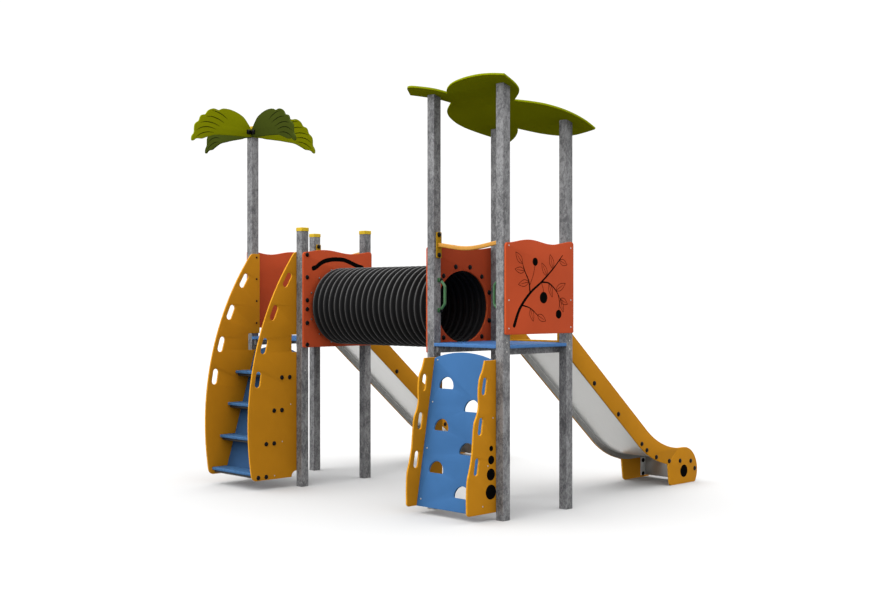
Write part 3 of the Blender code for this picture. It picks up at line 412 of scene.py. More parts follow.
class Finish:
    """A material whose patterns are written as expressions on its sockets."""

    def __init__(self, name, colour, roughness, metallic=0.0, **constants):
        self.material = bpy.data.materials.new(name)
        self.material.use_nodes = True
        self.material.diffuse_color = (*colour, 1)
        self.tree = self.material.node_tree
        self.shader = self.tree.nodes["Principled BSDF"]
        self.feed("Base Color", (*colour, 1))
        self.feed("Roughness", roughness)
        self.feed("Metallic", metallic)
        for socket, value in constants.items():
            self.feed(socket.replace("_", " "), value)
        self.place = self.node("TexCoord", {}, {}, "Object")

    def put(self, socket, value):
        """Set a socket to a number or colour, or link a pattern to it."""
        if isinstance(value, Value):
            self.tree.links.new(value.socket, socket)
        else:
            socket.default_value = value

    def feed(self, socket, value):
        """Set or link one of the shader's own sockets."""
        self.put(self.shader.inputs[socket], value)

    def node(self, kind, settings, values, out=0):
        """Add a node: first its settings, then the values or links of its sockets."""
        made = self.tree.nodes.new("ShaderNode" + kind)
        for key, value in settings.items():
            setattr(made, key, value)
        for key, value in values.items():
            self.put(made.inputs[key], value)
        return Value(self, made.outputs[out])

    def scaled(self, x, y, z):
        """The place on the piece, stretched along each axis."""
        return self.node("VectorMath", {"operation": "MULTIPLY"}, {0: self.place, 1: (x, y, z)})

    def noise(self, scale, detail, roughness, place=None, distortion=0.0):
        """A noise value round 0.5."""
        values = {"Vector": place or self.place, "Scale": scale, "Detail": detail,
                  "Roughness": roughness, "Distortion": distortion}
        return self.node("TexNoise", {}, values)

    def cells(self, scale, place):
        """A random shade for each crystal of a cell pattern."""
        colour = self.node("TexVoronoi", {}, {"Vector": place, "Scale": scale}, "Color")
        return self.node("SeparateColor", {}, {0: colour})

    def rim(self):
        """The rim value of the piece's points."""
        return self.node("Attribute", {"attribute_name": "rim"}, {}, "Fac")

    def mix(self, share, first, second):
        """A colour between two colours."""
        first, second = (colour if isinstance(colour, Value) else (*colour, 1)
                         for colour in (first, second))
        return self.node("Mix", {"data_type": "RGBA"}, {0: share, 6: first, 7: second}, 2)

    def bump(self, height, distance, strength):
        """Let a height pattern ripple the surface."""
        values = {"Height": height, "Distance": distance, "Strength": strength}
        self.feed("Normal", self.node("Bump", {}, values, "Normal"))


def shade(colour, factor):
    """A colour made lighter or darker."""
    return tuple(min(1.0, channel * factor) for channel in colour)


def board_finish(name, colour, edge, gloss=0.03):
    """Solid-coloured plastic board: satin with a fine grain, cloudy; at routed edges scuffed and lighter,
    partly wear and partly a painted highlight where light catches the rounded edges.
    """
    made = Finish(name, colour, 0.5, Specular_IOR_Level=gloss)
    cloud = made.noise(2.3, 4.0, 0.55)
    speck = made.noise(160.0, 2.0, 0.6)
    face = made.mix(cloud.above(0.5, 0.5), shade(colour, 0.93), shade(colour, 1.05))
    scuff_and_edge_light = made.rim() * made.noise(38.0, 3.0, 0.6).above(0.42, 0.5)
    # Towards the lighter edge colour at the routed edges: partly scuffing, partly a painted highlight of
    # light caught by the rounded edges.
    made.feed("Base Color", made.mix(scuff_and_edge_light * 0.65, face, edge))
    made.feed("Roughness", 0.46 + speck * 0.08 + cloud * 0.06 + scuff_and_edge_light * 0.1)
    made.bump(made.noise(520.0, 2.0, 0.5) + made.noise(45.0, 2.0, 0.5) * 1.5, 0.0003, 0.35)
    return made


def galvanised_finish(name, dark, light):
    """Hot-dip zinc: soft dark and light clouds under small crystals, with a few bright specks."""
    made = Finish(name, light, 0.55, 0.35, Specular_IOR_Level=0.4)
    long_way = made.scaled(1.0, 1.0, 0.55)
    cloud = made.noise(15.0, 5.0, 0.68, long_way, 0.6)
    blotch = made.noise(5.0, 3.0, 0.55, made.scaled(1.0, 1.0, 0.7))
    crystal = made.cells(75.0, made.scaled(1.0, 1.0, 0.6))
    speck = made.noise(95.0, 3.0, 0.7)
    tone = cloud * 0.62 + blotch * 0.38 + (crystal - 0.5) * 0.17 + (speck - 0.5) * 0.45
    made.feed("Base Color", made.mix(tone.above(0.5, 0.36), dark, light))
    made.feed("Roughness", 0.62 - tone.above(0.5, 0.5) * 0.16)
    made.bump(tone, 0.0006, 0.25)
    return made


def tunnel_finish():
    """Black corrugated polyethylene: dull, with crests lightened partly by dust and partly by a painted
    sheen, painted lighter towards the top where overhead light falls.
    """
    made = Finish("tunnel_black", (0.012, 0.012, 0.013), 0.42, Specular_IOR_Level=0.10)
    dust = made.noise(7.0, 4.0, 0.6) * 0.5 + made.noise(60.0, 3.0, 0.6) * 0.5
    # Painted light: the upper part of the pipe is made lighter, as overhead light falls on it; the crests'
    # rim value with the dust noise gives crests that are partly dust, partly a painted sheen.
    upper = made.node("SeparateXYZ", {}, {0: made.place}, 2).above(TUNNEL_AXIS + 0.15, 0.5)
    crest = made.rim() * (0.55 + dust * 0.9) * (0.34 + upper * 0.66)
    made.feed("Base Color", made.mix(crest, (0.010, 0.010, 0.0105), (0.110, 0.110, 0.108)))
    made.feed("Roughness", 0.36 + dust * 0.22)
    made.bump(made.noise(240.0, 2.0, 0.5), 0.0004, 0.4)
    return made


def slide_finish():
    """Stainless sheet: a fine grain down the slide, faint waves, and a painted reflection of the bright
    floor on the underside; folds and flanges keep a darker tone as painted shade.
    """
    made = Finish("slide_stainless", (0.56, 0.56, 0.545), 0.34, 0.85)
    grain = made.noise(1.0, 3.0, 0.65, made.scaled(420.0, 9.0, 9.0))
    wave = made.noise(1.6, 2.0, 0.5)
    # Painted light: the rim value lifts the colour from the dark tone, kept on folds and flanges as
    # painted shade, to a painted reflection of the floor on the underside.
    tone = made.rim() * 0.82 + grain.above(0.5, 0.6) * 0.16
    made.feed("Base Color", made.mix(tone, (0.31, 0.312, 0.308), (0.74, 0.74, 0.72)))
    made.feed("Roughness", 0.27 + grain * 0.12 + wave * 0.08)
    made.bump(grain + wave * 4.0, 0.0004, 0.3)
    return made


def moulded_finish(name, colour, roughness, gloss):
    """Injection-moulded plastic: even colour with a fine texture."""
    made = Finish(name, colour, roughness, Specular_IOR_Level=gloss)
    cloud = made.noise(9.0, 3.0, 0.5)
    made.feed("Base Color", made.mix(cloud.above(0.5, 0.5), shade(colour, 0.92), shade(colour, 1.08)))
    made.feed("Roughness", roughness - 0.04 + cloud * 0.1)
    made.bump(made.noise(380.0, 2.0, 0.5), 0.0002, 0.3)
    return made


def metal_finish(name, colour, roughness, metallic=1.0):
    """Turned or coated metal of small parts: fine marks and a little tarnish."""
    made = Finish(name, colour, roughness, metallic)
    mark = made.noise(140.0, 3.0, 0.6)
    made.feed("Base Color", made.mix(mark.above(0.5, 0.5), shade(colour, 0.86), shade(colour, 1.1)))
    made.feed("Roughness", roughness - 0.06 + mark * 0.14)
    made.bump(mark, 0.0002, 0.2)
    return made


YELLOW = board_finish("yellow_board", (0.40, 0.168, 0.008), (0.62, 0.30, 0.02))
RED = board_finish("red_board", (0.40, 0.060, 0.020), (0.56, 0.10, 0.03))
# Painted shade: a darker copy of the red, for the tunnel panel inside the right tower, which lies in
# shade.
SHADED_RED = board_finish("painted_shade_red_board", (0.29, 0.042, 0.014), (0.56, 0.10, 0.03))
BLUE = board_finish("blue_board", (0.044, 0.118, 0.285), (0.07, 0.17, 0.36))
# Painted shade: a somewhat darker copy of the deck blue, for the climbing board, whose leaning face takes
# more light.
CLIMB_SHADED_BLUE = board_finish("painted_shade_climb_blue_board", (0.035, 0.106, 0.244), (0.06, 0.16, 0.32))
# Painted shade: a darker copy of the blue, for the treads and riser inside the stair, which lie in shade.
SHADED_BLUE = board_finish("painted_shade_blue_board", (0.026, 0.066, 0.145), (0.06, 0.15, 0.30))
LEAF = board_finish("leaf_board", (0.164, 0.178, 0.002), (0.22, 0.26, 0.005), 0.0)
DARK_LEAF = board_finish("dark_leaf_board", (0.040, 0.052, 0.007), (0.06, 0.08, 0.012), 0.0)
GALVANISED = galvanised_finish("galvanised_post", (0.075, 0.075, 0.078), (0.22, 0.22, 0.224))
FRAME_ZINC = galvanised_finish("galvanised_frame", (0.08, 0.08, 0.083), (0.23, 0.23, 0.234))
TUNNEL = tunnel_finish()
STAINLESS = slide_finish()
CAP = moulded_finish("cap_yellow", (0.48, 0.32, 0.010), 0.36, 0.14)
# The rail's own yellow, made lighter than the boards' as a painted highlight on the round bar.
LIGHTENED_RAIL = moulded_finish("rail_yellow_painted_highlight", (0.46, 0.215, 0.028), 0.38, 0.26)
# Painted shade: a darker copy of the yellow for the rail plates, which lie in the posts' shade.
SHADED_PLATE = board_finish("rail_plate_yellow_painted_shade", (0.29, 0.160, 0.006), (0.45, 0.26, 0.02))
GRIP = moulded_finish("grip_green", (0.036, 0.110, 0.042), 0.36, 0.25)
BOLT = moulded_finish("bolt_black", (0.0035, 0.0035, 0.0038), 0.34, 0.07)
INLAY = moulded_finish("inlay_black", (0.003, 0.0028, 0.0025), 0.5, 0.0)
GROOVE = moulded_finish("groove_red", (0.040, 0.006, 0.003), 0.6, 0.0)
LEAF_GROOVE = moulded_finish("groove_green", (0.022, 0.026, 0.001), 0.6, 0.0)
DARK_LEAF_GROOVE = moulded_finish("groove_dark_green", (0.008, 0.011, 0.002), 0.6, 0.0)
SCREW = metal_finish("screw_steel", (0.44, 0.43, 0.41), 0.34)
NUT = metal_finish("nut_steel", (0.20, 0.20, 0.20), 0.35)
ROD = metal_finish("rod_black", (0.010, 0.010, 0.011), 0.55, 0.0)


# Pieces.


def piece(name, form, finish, nodes=(), sharp=38.0):
    """Make the object of a form, weld its seams and poles, and hand it to the frame."""
    mesh = bpy.data.meshes.new(name)
    mesh.from_pydata(np.vstack(form.points), [], form.faces)
    mesh.polygons.foreach_set("use_smooth", form.smooth)
    rim = mesh.attributes.new("rim", "FLOAT", "POINT")
    rim.data.foreach_set("value", np.concatenate(form.rim))
    work = bmesh.new()
    work.from_mesh(mesh)
    bmesh.ops.remove_doubles(work, verts=work.verts, dist=WELD)
    bmesh.ops.recalc_face_normals(work, faces=work.faces)
    work.to_mesh(mesh)
    work.free()
    mesh.set_sharp_from_angle(angle=math.radians(sharp))
    mesh.materials.append(finish.material)
    obj = bpy.data.objects.new(name, mesh)
    bpy.context.scene.collection.objects.link(obj)
    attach(obj, "root")
    if nodes:
        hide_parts(*nodes)


def dress(node, finish):
    """Give a CAD node that keeps its shape its finish."""
    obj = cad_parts[node]
    if not obj.data.materials:
        obj.data.materials.append(None)
    for material_slot in obj.material_slots:
        material_slot.material = finish.material


# Heads of bolts and screws: rows of radius and height from the rim's underside to the pole.
BOLT_CAP = np.array([
    (0, 0), (23.5, 0), (23.5, 2.0), (22.4, 3.8), (21.1, 4.4), (20.3, 5.8), (17.2, 9.0), (11.8, 11.6),
    (5.9, 12.8), (0, 13.0)]) / 1000
SMALL_NUT = np.array([
    (0, 0), (9.5, 0), (9.5, 4.5), (8.0, 6.0), (5.0, 6.2), (4.6, 9.0), (3.8, 9.8), (0, 9.8)]) / 1000
PAN_SCREW = np.array([
    (0, 0), (7.2, 0), (7.0, 1.6), (5.6, 3.0), (3.2, 3.6), (2.9, 2.2), (0, 2.2)]) / 1000
WASHER_BOLT = np.array([
    (0, 0), (11.0, 0), (11.0, 1.8), (8.2, 2.0), (8.0, 5.6), (6.2, 7.0), (3.4, 7.2), (3.1, 5.0),
    (0, 5.0)]) / 1000

# Kinds of fixing: profile, finish, slot and the sides of its turned head.
CAPS = (BOLT_CAP, BOLT, "dark_steel", 18)
BIG_CAPS = (BOLT_CAP * (1.02, 1.20), *CAPS[1:])
HANDLE_CAPS = (BOLT_CAP * (0.82, 0.90), *CAPS[1:])
WASHER_BOLTS = (WASHER_BOLT, *CAPS[1:])
NUTS = (SMALL_NUT, NUT, "dark_steel", 12)
SCREWS = (PAN_SCREW, SCREW, "slide_steel", 14)
BIG_SCREWS = (PAN_SCREW * 1.15, *SCREWS[1:])


def fixed(name, kind, groups):
    """One piece of many heads of a kind; each group is (facing, places on the site)."""
    profile, finish, slot, sides = kind
    form = Form(SITE)
    for facing, places in groups:
        head, quads = lathe(profile, ORIGIN, facing, sides)
        places = np.asarray(places, float).reshape(-1, 3)
        starts = np.arange(len(places)) * len(head)
        form.add(places[:, None] + head, [(quads + starts[:, None, None]).reshape(-1, 4)])
    piece(name, form, finish)


def on_x(x, spots):
    """Places on a face across X from (y, z) spots."""
    spots = np.asarray(spots, float)
    return np.column_stack([np.full(len(spots), x), spots])


def both_ways(right, left, spots):
    """Groups at the same (y, z) spots: on a face that looks along X, and on one that looks back."""
    return [(X_AXIS, on_x(right, spots)), (-X_AXIS, on_x(left, spots))]


def mirrored(spots):
    """The (y, z) spots again on the other side of a tower's middle line."""
    return np.asarray(spots, float) * (-1, 1) + (BAY, 0)


# Boards.

EDGE_RADIUS = 0.0028
LEANING = np.array([0.0, -math.cos(CLIMB_LEAN), math.sin(CLIMB_LEAN)])
RISING = np.array([0.0, -math.cos(RISER_LEAN), math.sin(RISER_LEAN)])
SLOPING = np.array([0.0, math.sin(ROOF_SLOPE), math.cos(ROOF_SLOPE)])

SLIDE_BOARDS = [f"slide_{kind}_{side}_{place}" for kind in ("cheek", "foot")
                for side in ("left", "right") for place in ("inner", "outer")]
BOARDS = [
    (RED, "red_board", X_AXIS, ["back_panel_left", "tunnel_panel_left", "picture_panel_right"]),
    (SHADED_RED, "red_board", X_AXIS, ["tunnel_panel_right"]),
    (YELLOW, "yellow_board", X_AXIS, [
        "stair_side_outer", "stair_side_inner", "climb_side_inner", "climb_side_outer",
        *SLIDE_BOARDS, "slide_entry_strip_left", "slide_entry_strip_right"]),
    (SHADED_BLUE, "blue_board", X_AXIS, [f"tread_{step}" for step in range(1, TREADS + 1)]),
    (SHADED_BLUE, "blue_board", RISING, ["stair_riser_board"]),
    (BLUE, "blue_board", Z_AXIS, ["deck_left", "deck_right"]),
    (CLIMB_SHADED_BLUE, "blue_board", LEANING, ["climb_board"]),
    (LEAF, "leaf_board", SLOPING, ["roof"]),
    (LEAF, "leaf_board", X_AXIS, ["palm_leaf_along_y"]),
    (DARK_LEAF, "dark_leaf_board", -Y_AXIS, ["palm_leaf_along_x"]),
    (FRAME_ZINC, "frame_steel", Z_AXIS, ["deck_frame_left", "deck_frame_right"]),
]

for finish, slot_name, facing, nodes in BOARDS:
    for node in nodes:
        piece(node + "_board", board_form(node, facing, EDGE_RADIUS), finish, [node])

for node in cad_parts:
    if "post_" in node and node != "palm_post_cap":
        dress(node, GALVANISED)


# Caps, rods, rails, handles.

CAP_WALL = 0.004
CAP_SKIRT = 0.030
CAP_LIP = 0.0008
CAP_CROWN = 0.006
CAP_CORNER = 0.010
PALM_CAP = 0.036
PALM_CAP_EDGE = 0.005


def cap_form(node):
    """A square cap over a post: from inside the skirt, round its lip and up to its flat top."""
    low, high, centre = box_of(node)
    width, height = high[0] - low[0], high[2] - low[2]
    angle = np.linspace(0, np.pi / 2, 5)
    crown = np.stack([CAP_CROWN * (1 - np.cos(angle)), height - CAP_CROWN * (1 - np.sin(angle))], -1)
    rows = [(CAP_WALL, CAP_SKIRT), (CAP_WALL, CAP_LIP), (CAP_WALL - CAP_LIP, 0), (CAP_LIP, 0),
            (0, CAP_LIP), *crown]
    base = np.array([centre[0], centre[1], low[2]])
    outline = bar_section(width, width, CAP_CORNER, 6)
    return carry(Form(), [outline], rows[::-1], base, Z_AXIS, 0)


for node in ("cap_front_inner", "cap_rear_outer", "cap_rear_inner"):
    piece(node + "_moulding", cap_form(node), CAP, [node])


def palm_cap_form():
    """A cap as wide as its post, with soft edges; its plug is out of sight in the post."""
    _, high, centre = box_of("palm_post_cap")
    rows = rounded_rows(high[2] - PALM_CAP, high[2], PALM_CAP_EDGE, 4)
    outline = bar_section(POST, POST, POST_CORNER, 6)
    return carry(Form(), [outline], rows, centre * (1, 1, 0), Z_AXIS, 0)


piece("palm_post_cap_moulding", palm_cap_form(), CAP, ["palm_post_cap"])


def rod_form(node):
    """A bar across the stair with chamfered ends."""
    low, high, centre = box_of(node)
    radius, half = (high[2] - low[2]) / 2, (high[0] - low[0]) / 2
    chamfer = 0.002
    profile = [(0, -half), (radius - chamfer, -half), (radius, -half + chamfer),
               (radius, half - chamfer), (radius - chamfer, half), (0, half)]
    points, quads = lathe(profile, centre, X_AXIS, sides=32)
    return Form().add(points, [quads])


for step in range(1, TREADS + 1):
    for place in ("front", "rear"):
        node = f"tread_rod_{step}_{place}"
        piece(node + "_bar", rod_form(node), ROD, [node])


RAIL_PLATE = 0.012


def rail_form(node):
    """A sagging bar with soft edges between two plates.

    The bar's middle line is z = top - sag sin(pi t) ^ power, for t from plate to plate.
    """
    low, high, centre = box_of(node)
    bar, depth, corner = 0.038, 0.030, 0.009
    rise, sag, power = 0.900, 0.040, 1.4
    share = np.linspace(0, 1, 49)
    x = low[0] + RAIL_PLATE / 2 + (high[0] - low[0] - RAIL_PLATE) * share
    z = DECK_TOP + rise - sag * np.sin(np.pi * share) ** power
    path = np.column_stack([x, np.full(len(x), centre[1]), z])
    return sweep(Form(), path, Y_AXIS, bar_section(depth, bar, corner, 5))


def plates_form(node):
    """The upright plates with round corners at the two ends of a rail."""
    low, high, centre = box_of(node)
    edge = 0.0025
    form = Form()
    outline = bar_section(high[1] - low[1], high[2] - low[2], RAIL_PLATE, 6) + centre[[1, 2]]
    for x_low in (low[0], high[0] - RAIL_PLATE):
        carry(form, [outline], rounded_rows(x_low, x_low + RAIL_PLATE, edge), ORIGIN, X_AXIS)
    return form


for node in ("guard_rail_climb_side", "guard_rail_slide_left", "guard_rail_slide_right"):
    piece(node + "_bar", rail_form(node), LIGHTENED_RAIL, [node])
    piece(node + "_plates", plates_form(node), SHADED_PLATE)


def handle_form(node, direction):
    """A bow of oval grip between two pads; the path leaves each pad squarely."""
    low, high, centre = box_of(node)
    face = low[0] if direction > 0 else high[0]
    middle = centre[1]
    pad, pad_size, pad_edge = 0.008, 0.042, 0.002
    tube, stub, turn = 0.026, 0.016, 0.030
    lower, upper = low[2] + pad_size / 2, high[2] - pad_size / 2
    out = high[0] - low[0] - tube / 2
    start = pad / 2
    leg = out - (start + stub)
    corners = np.array([(start, lower), (start + stub, lower), (out, lower + leg), (out, upper - leg),
                        (start + stub, upper), (start, upper)])
    flat = bend(corners, turn)
    path = np.column_stack([face + direction * flat[:, 0], np.full(len(flat), middle), flat[:, 1]])
    form = Form()
    sweep(form, path, Y_AXIS, circle((0, 0), tube / 2, 24))
    for z in (lower, upper):
        outline = bar_section(pad_size, pad_size, pad, 6) + (middle, z)
        ends = sorted((face, face + direction * pad))
        carry(form, [outline], rounded_rows(*ends, pad_edge), ORIGIN, X_AXIS)
    return form


piece("handle_inner_bow", handle_form("handle_inner", 1), GRIP, ["handle_inner"])
piece("handle_outer_bow", handle_form("handle_outer", -1), GRIP, ["handle_outer"])


# Tunnel.


def tunnel_form():
    """Corrugated wall: a surface of revolution whose radius follows one rib after another.

    Along the pipe the radius is groove + (crest - groove) s, where s is 1 within a short way
    of a rib's middle line and falls to 0 by a smooth step; the inner wall keeps its distance.
    """
    low, high, centre = box_of("tunnel")
    ribs, sides, samples, neck = 21, 96, 16, 0.027
    crest, bore, wall, dome, shallower = 0.398, 0.340, 0.009, 0.003, 0.004
    flat, flank, dome_reach, crest_sheen_reach, inside_sheen_share = 0.10, 0.19, 0.12, 0.090, 0.2
    groove = bore + wall
    along = np.linspace(0, ribs, ribs * samples + 1)
    away = np.abs(along - np.floor(along) - 0.5)
    away[-1] = 0.5
    fall = np.clip((away - flat) / flank, 0, 1)
    rise = 1 - fall * fall * (3 - 2 * fall)
    round_top = dome * np.cos(np.clip(away / dome_reach, 0, 1) * np.pi / 2)
    outside = groove + (crest - dome - groove) * rise + round_top
    inside = bore + (crest - wall - shallower - bore) * rise
    x = low[0] + neck + (high[0] - low[0] - 2 * neck) * along / ribs
    # Rim value for the finish: a painted sheen on each crest, fading away from the rib's middle, and a
    # weaker painted sheen on the inner wall.
    lit = np.clip(1.2 - away / crest_sheen_reach, 0, 1)
    outer = np.vstack([(groove, low[0]), np.column_stack([outside, x]), (groove, high[0])])
    inner = np.vstack([(bore, low[0]), np.column_stack([inside, x]), (bore, high[0])])[::-1]
    profile = np.vstack([outer, inner, outer[:1]])
    points, quads = lathe(profile, centre * (0, 1, 1), X_AXIS, sides)
    rim = np.concatenate([[0], lit, [0], [0], lit[::-1] * inside_sheen_share, [0], [0]])
    return Form().add(points, [quads], rim=np.repeat(rim, sides))


piece("tunnel_pipe", tunnel_form(), TUNNEL, ["tunnel"], 70.0)


# Slides.

SLIDE_HALF = SLIDE_INSIDE / 2 - FIT
SLIDE_FACE = SLIDE_INSIDE / 2 + BOARD
SHEET = 0.004
SLIDE_EXIT = 0.2733
SLIDE_SLOPE = 40
SLIDE_ROLL = 0.050
ENTRY_RADIUS = 0.100
BEND_RADIUS = 1.000
BEND_CENTRE = (2.8516, 1.2733)
ENTRY = BACK_FACE + 0.085
RUN_OUT = BEND_CENTRE[0] + 0.250
DISC = (BEND_CENTRE[0] + 0.104, 0.131)
WEB = DISC[0] + 0.134


def slide_path():
    """The sliding surface in (y, z): landing, eased entry, slope, bend and run-out."""
    slope = turned(BEND_CENTRE, BEND_RADIUS, 270 - SLIDE_SLOPE, 270, 28)
    entry = bend([(BACK_FACE + FIT, DECK_TOP), (ENTRY, DECK_TOP), slope[0]], ENTRY_RADIUS)
    return np.vstack([entry[:-1], slope, [(RUN_OUT, SLIDE_EXIT)]])


def slide_form(middle):
    """A sheet with folded sides down the slide, a rolled end and a folded brace at the foot."""
    form = Form(SITE)
    fold, flange, half = 0.007, 0.058, SLIDE_HALF
    right_out = turned((half - fold, fold), fold, -90, 0, 5)
    right_in = turned((half - fold, fold), fold - SHEET, 0, -90, 5)
    right = np.vstack([right_out, [(half, flange), (half - SHEET, flange)], right_in])
    left = (right * (-1, 1))[::-1]
    # Painted light along the section: the outer fold, the flange and the first inner fold point keep the
    # dark tone as painted shade; the underside between the folds gets the painted reflection.
    painted_shade_points = len(right_out) + 3
    under = np.repeat([0.0, 1.0, 0.0], [painted_shade_points, 2 * (len(right) - painted_shade_points), painted_shade_points])
    path = on_x(middle, slide_path())
    sweep(form, path, X_AXIS, np.vstack([right, left]), rim=np.tile(under, len(path)))
    tail_length, apron_drop = 0.025, 0.080
    roll = turned((RUN_OUT, SLIDE_EXIT - SLIDE_ROLL), SLIDE_ROLL, 90, 0, 10)
    tail = np.vstack([roll, [(roll[-1][0], roll[-1][1] - tail_length)]])
    strip = np.array([(-half, 0), (half, 0), (half, SHEET), (-half, SHEET)])
    sweep(form, on_x(middle, tail), X_AXIS, strip)
    apron = [(BACK_FACE + FIT, DECK_TOP - apron_drop), (BACK_FACE + FIT, DECK_TOP)]
    sweep(form, on_x(middle, apron), X_AXIS, strip)
    edge, flange_depth, flange_height, flange_middle = 0.001, 0.090, 0.200, 0.120
    brace = bar_section(flange_depth, flange_height, 0.010, 4) + (WEB - flange_depth / 2, flange_middle)
    # The brace plates take rim 1, the full painted reflection of the floor.
    for x in (middle - half, middle + half - SHEET):
        carry(form, [brace], rounded_rows(x, x + SHEET, edge, 2), ORIGIN, X_AXIS, 1)
    # The web panel takes rim 0.3: darker, as painted shade.
    web_gap, web_height, web_middle, web_rim = 0.002, 0.249, 0.1445, 0.3
    panel = bar_section(2 * half - web_gap, web_height, 0.003, 2) + (-middle, web_middle)
    carry(form, [panel], rounded_rows(WEB - SHEET, WEB, edge, 2), ORIGIN, Y_AXIS, web_rim)
    return form


for side, tower in TOWERS:
    node = "slide_bed_" + side
    piece(node + "_sheet", slide_form(tower + BAY / 2), STAINLESS, [node])


# Bolts and screws.

STAIR_FACE = BAY - HALF_POST - FIT
STAIR_FAR_FACE = HALF_POST + FIT
TREAD_NOSE = (-0.272, 1.145)
ROD_DROP = 0.0143
ROD_REACH = (0.042, 0.141)
TREAD_BOLTS = [(TREAD_NOSE[0] - TREAD_RUN * k + reach, TREAD_NOSE[1] - TREAD_RISE * k - ROD_DROP)
               for k in range(TREADS) for reach in ROD_REACH]
RISER_SCREWS = [(-0.118, 0.850), (-0.226, 0.475), (-0.324, 0.135)]
POST_FIXINGS = [(0.004, z) for z in (2.383, 2.151, 1.913, 1.676, 1.250, 0.800, 0.350)]

fixed("stair_bolt_caps", CAPS, both_ways(STAIR_FACE, STAIR_FAR_FACE, TREAD_BOLTS))
fixed("stair_screws", SCREWS, both_ways(STAIR_FACE, STAIR_FAR_FACE, RISER_SCREWS))
fixed("stair_post_bolts", WASHER_BOLTS,
      both_ways(STAIR_FAR_FACE + BOARD, STAIR_FACE - BOARD, POST_FIXINGS))

PANEL_BOLTS = [(0.012, z) for z in (2.392, 2.159, 1.922, 1.829, 1.687, 1.463)]
PANEL_BOLTS = np.vstack([PANEL_BOLTS, mirrored(PANEL_BOLTS[1:])])
MOUTH_RADIUS = 0.388
MOUTH_ANGLES = np.radians(np.concatenate([quarter + side * np.array([20.5, 48.0, 75.5])
                                          for quarter in (0, 180) for side in (1, -1)]))
MOUTH_RING = MOUTH_RADIUS * np.column_stack([np.cos(MOUTH_ANGLES), np.sin(MOUTH_ANGLES)])
MOUTH_RING = MOUTH_RING + (BAY / 2, TUNNEL_AXIS)

fixed("tunnel_panel_bolt_caps", CAPS, both_ways(LEFT_PANEL_OUT, RIGHT_PANEL_OUT, PANEL_BOLTS))
fixed("tunnel_mouth_bolt_caps", CAPS, both_ways(RIGHT_PANEL_IN, LEFT_PANEL_IN, MOUTH_RING)[::-1])
fixed("tunnel_mouth_nuts", NUTS, both_ways(LEFT_PANEL_OUT, RIGHT_PANEL_OUT, MOUTH_RING))

PANEL_SCREWS = [(0.006, z) for z in (2.400, 1.922, 1.675)]
PANEL_SCREWS = np.vstack([PANEL_SCREWS, mirrored(PANEL_SCREWS)])
fixed("outer_panel_screws", SCREWS, both_ways(PICTURE_FACE, BACK_PANEL_FACE, PANEL_SCREWS))

RAIL_BOLTS = [(0.011, 2.525), (0.011, 2.338)]
SLIDE_RAIL_BOLTS = [(BAY + y, z) for y, z in RAIL_BOLTS]
PLATE_FACE = HALF_POST + FIT + RAIL_PLATE
rail_groups = []
for tower, bolts in ((RIGHT, RAIL_BOLTS), (RIGHT, SLIDE_RAIL_BOLTS), (0.0, SLIDE_RAIL_BOLTS)):
    rail_groups += both_ways(tower + PLATE_FACE, tower + BAY - PLATE_FACE, bolts)
fixed("guard_rail_bolt_caps", CAPS, rail_groups)

CLIMB_FACE = RIGHT + BAY - HALF_POST - FIT
CLIMB_FAR_FACE = RIGHT + HALF_POST + FIT
CLIMB_SCREWS = [(-0.079, 0.896), (-0.145, 0.482), (-0.210, 0.137)]
CLIMB_FRONT = -0.033
SCREW_IN = 0.109
CLIMB_BOARD_SCREWS = [(x, CLIMB_FRONT - math.tan(CLIMB_LEAN) * (DECK_TOP - z), z)
                      for z in (1.376, 0.998, 0.584, 0.132)
                      for x in (RIGHT + SCREW_IN, RIGHT + BAY - SCREW_IN)]
fixed("climb_side_screws", SCREWS, both_ways(CLIMB_FACE, CLIMB_FAR_FACE, CLIMB_SCREWS))
fixed("climb_board_screws", BIG_SCREWS, [(LEANING, CLIMB_BOARD_SCREWS)])

SLIDE_BOLTS = [(1.444, 1.121), (1.825, 0.799), (2.213, 0.474), (2.299, 0.403), (2.462, 0.318),
               (2.691, 0.258), (2.885, 0.243), (3.081, 0.225), (3.155, 0.140)]
BRACE_BOLTS = [(3.044, 0.181), (3.044, 0.035)]
slide_groups = []
brace_groups = []
inner = SLIDE_HALF - SHEET
for _, tower in TOWERS:
    middle = tower + BAY / 2
    slide_groups += both_ways(middle + SLIDE_FACE, middle - SLIDE_FACE, SLIDE_BOLTS)
    brace_groups += both_ways(middle - inner, middle + inner, BRACE_BOLTS)
fixed("slide_bolt_caps", CAPS, slide_groups)
fixed("slide_brace_bolts", CAPS, brace_groups)

POST_SCREWS = [(0.0, 1.550), (0.0, 1.471), (BAY, 1.550), (BAY, 1.471)]
fixed("post_screws", SCREWS, [*both_ways(RIGHT + BAY + HALF_POST, -HALF_POST, POST_SCREWS),
                              (X_AXIS, on_x(BACK_FACE, [(0.0, 1.20)]))])


# Engraved and inlaid figures.

PROUD = 0.0005
SUNK = 0.0006
FIGURE_ROWS = rounded_rows(-SUNK, PROUD, 0.0003, 1)


def drawn(name, face, outlines, facing=X_AXIS, finish=INLAY):
    """Flat figures in a board's face: each outline, in (y, z) on the site, is filled."""
    form = Form(SITE)
    sign = 1 if facing[0] > 0 else -1
    for outline in outlines:
        outline = np.asarray(outline, float) * (sign, 1)
        if sign < 0:
            outline = outline[::-1]
        carry(form, [outline], FIGURE_ROWS, np.array([face, 0.0, 0.0]), facing, 0)
    piece(name, form, finish)


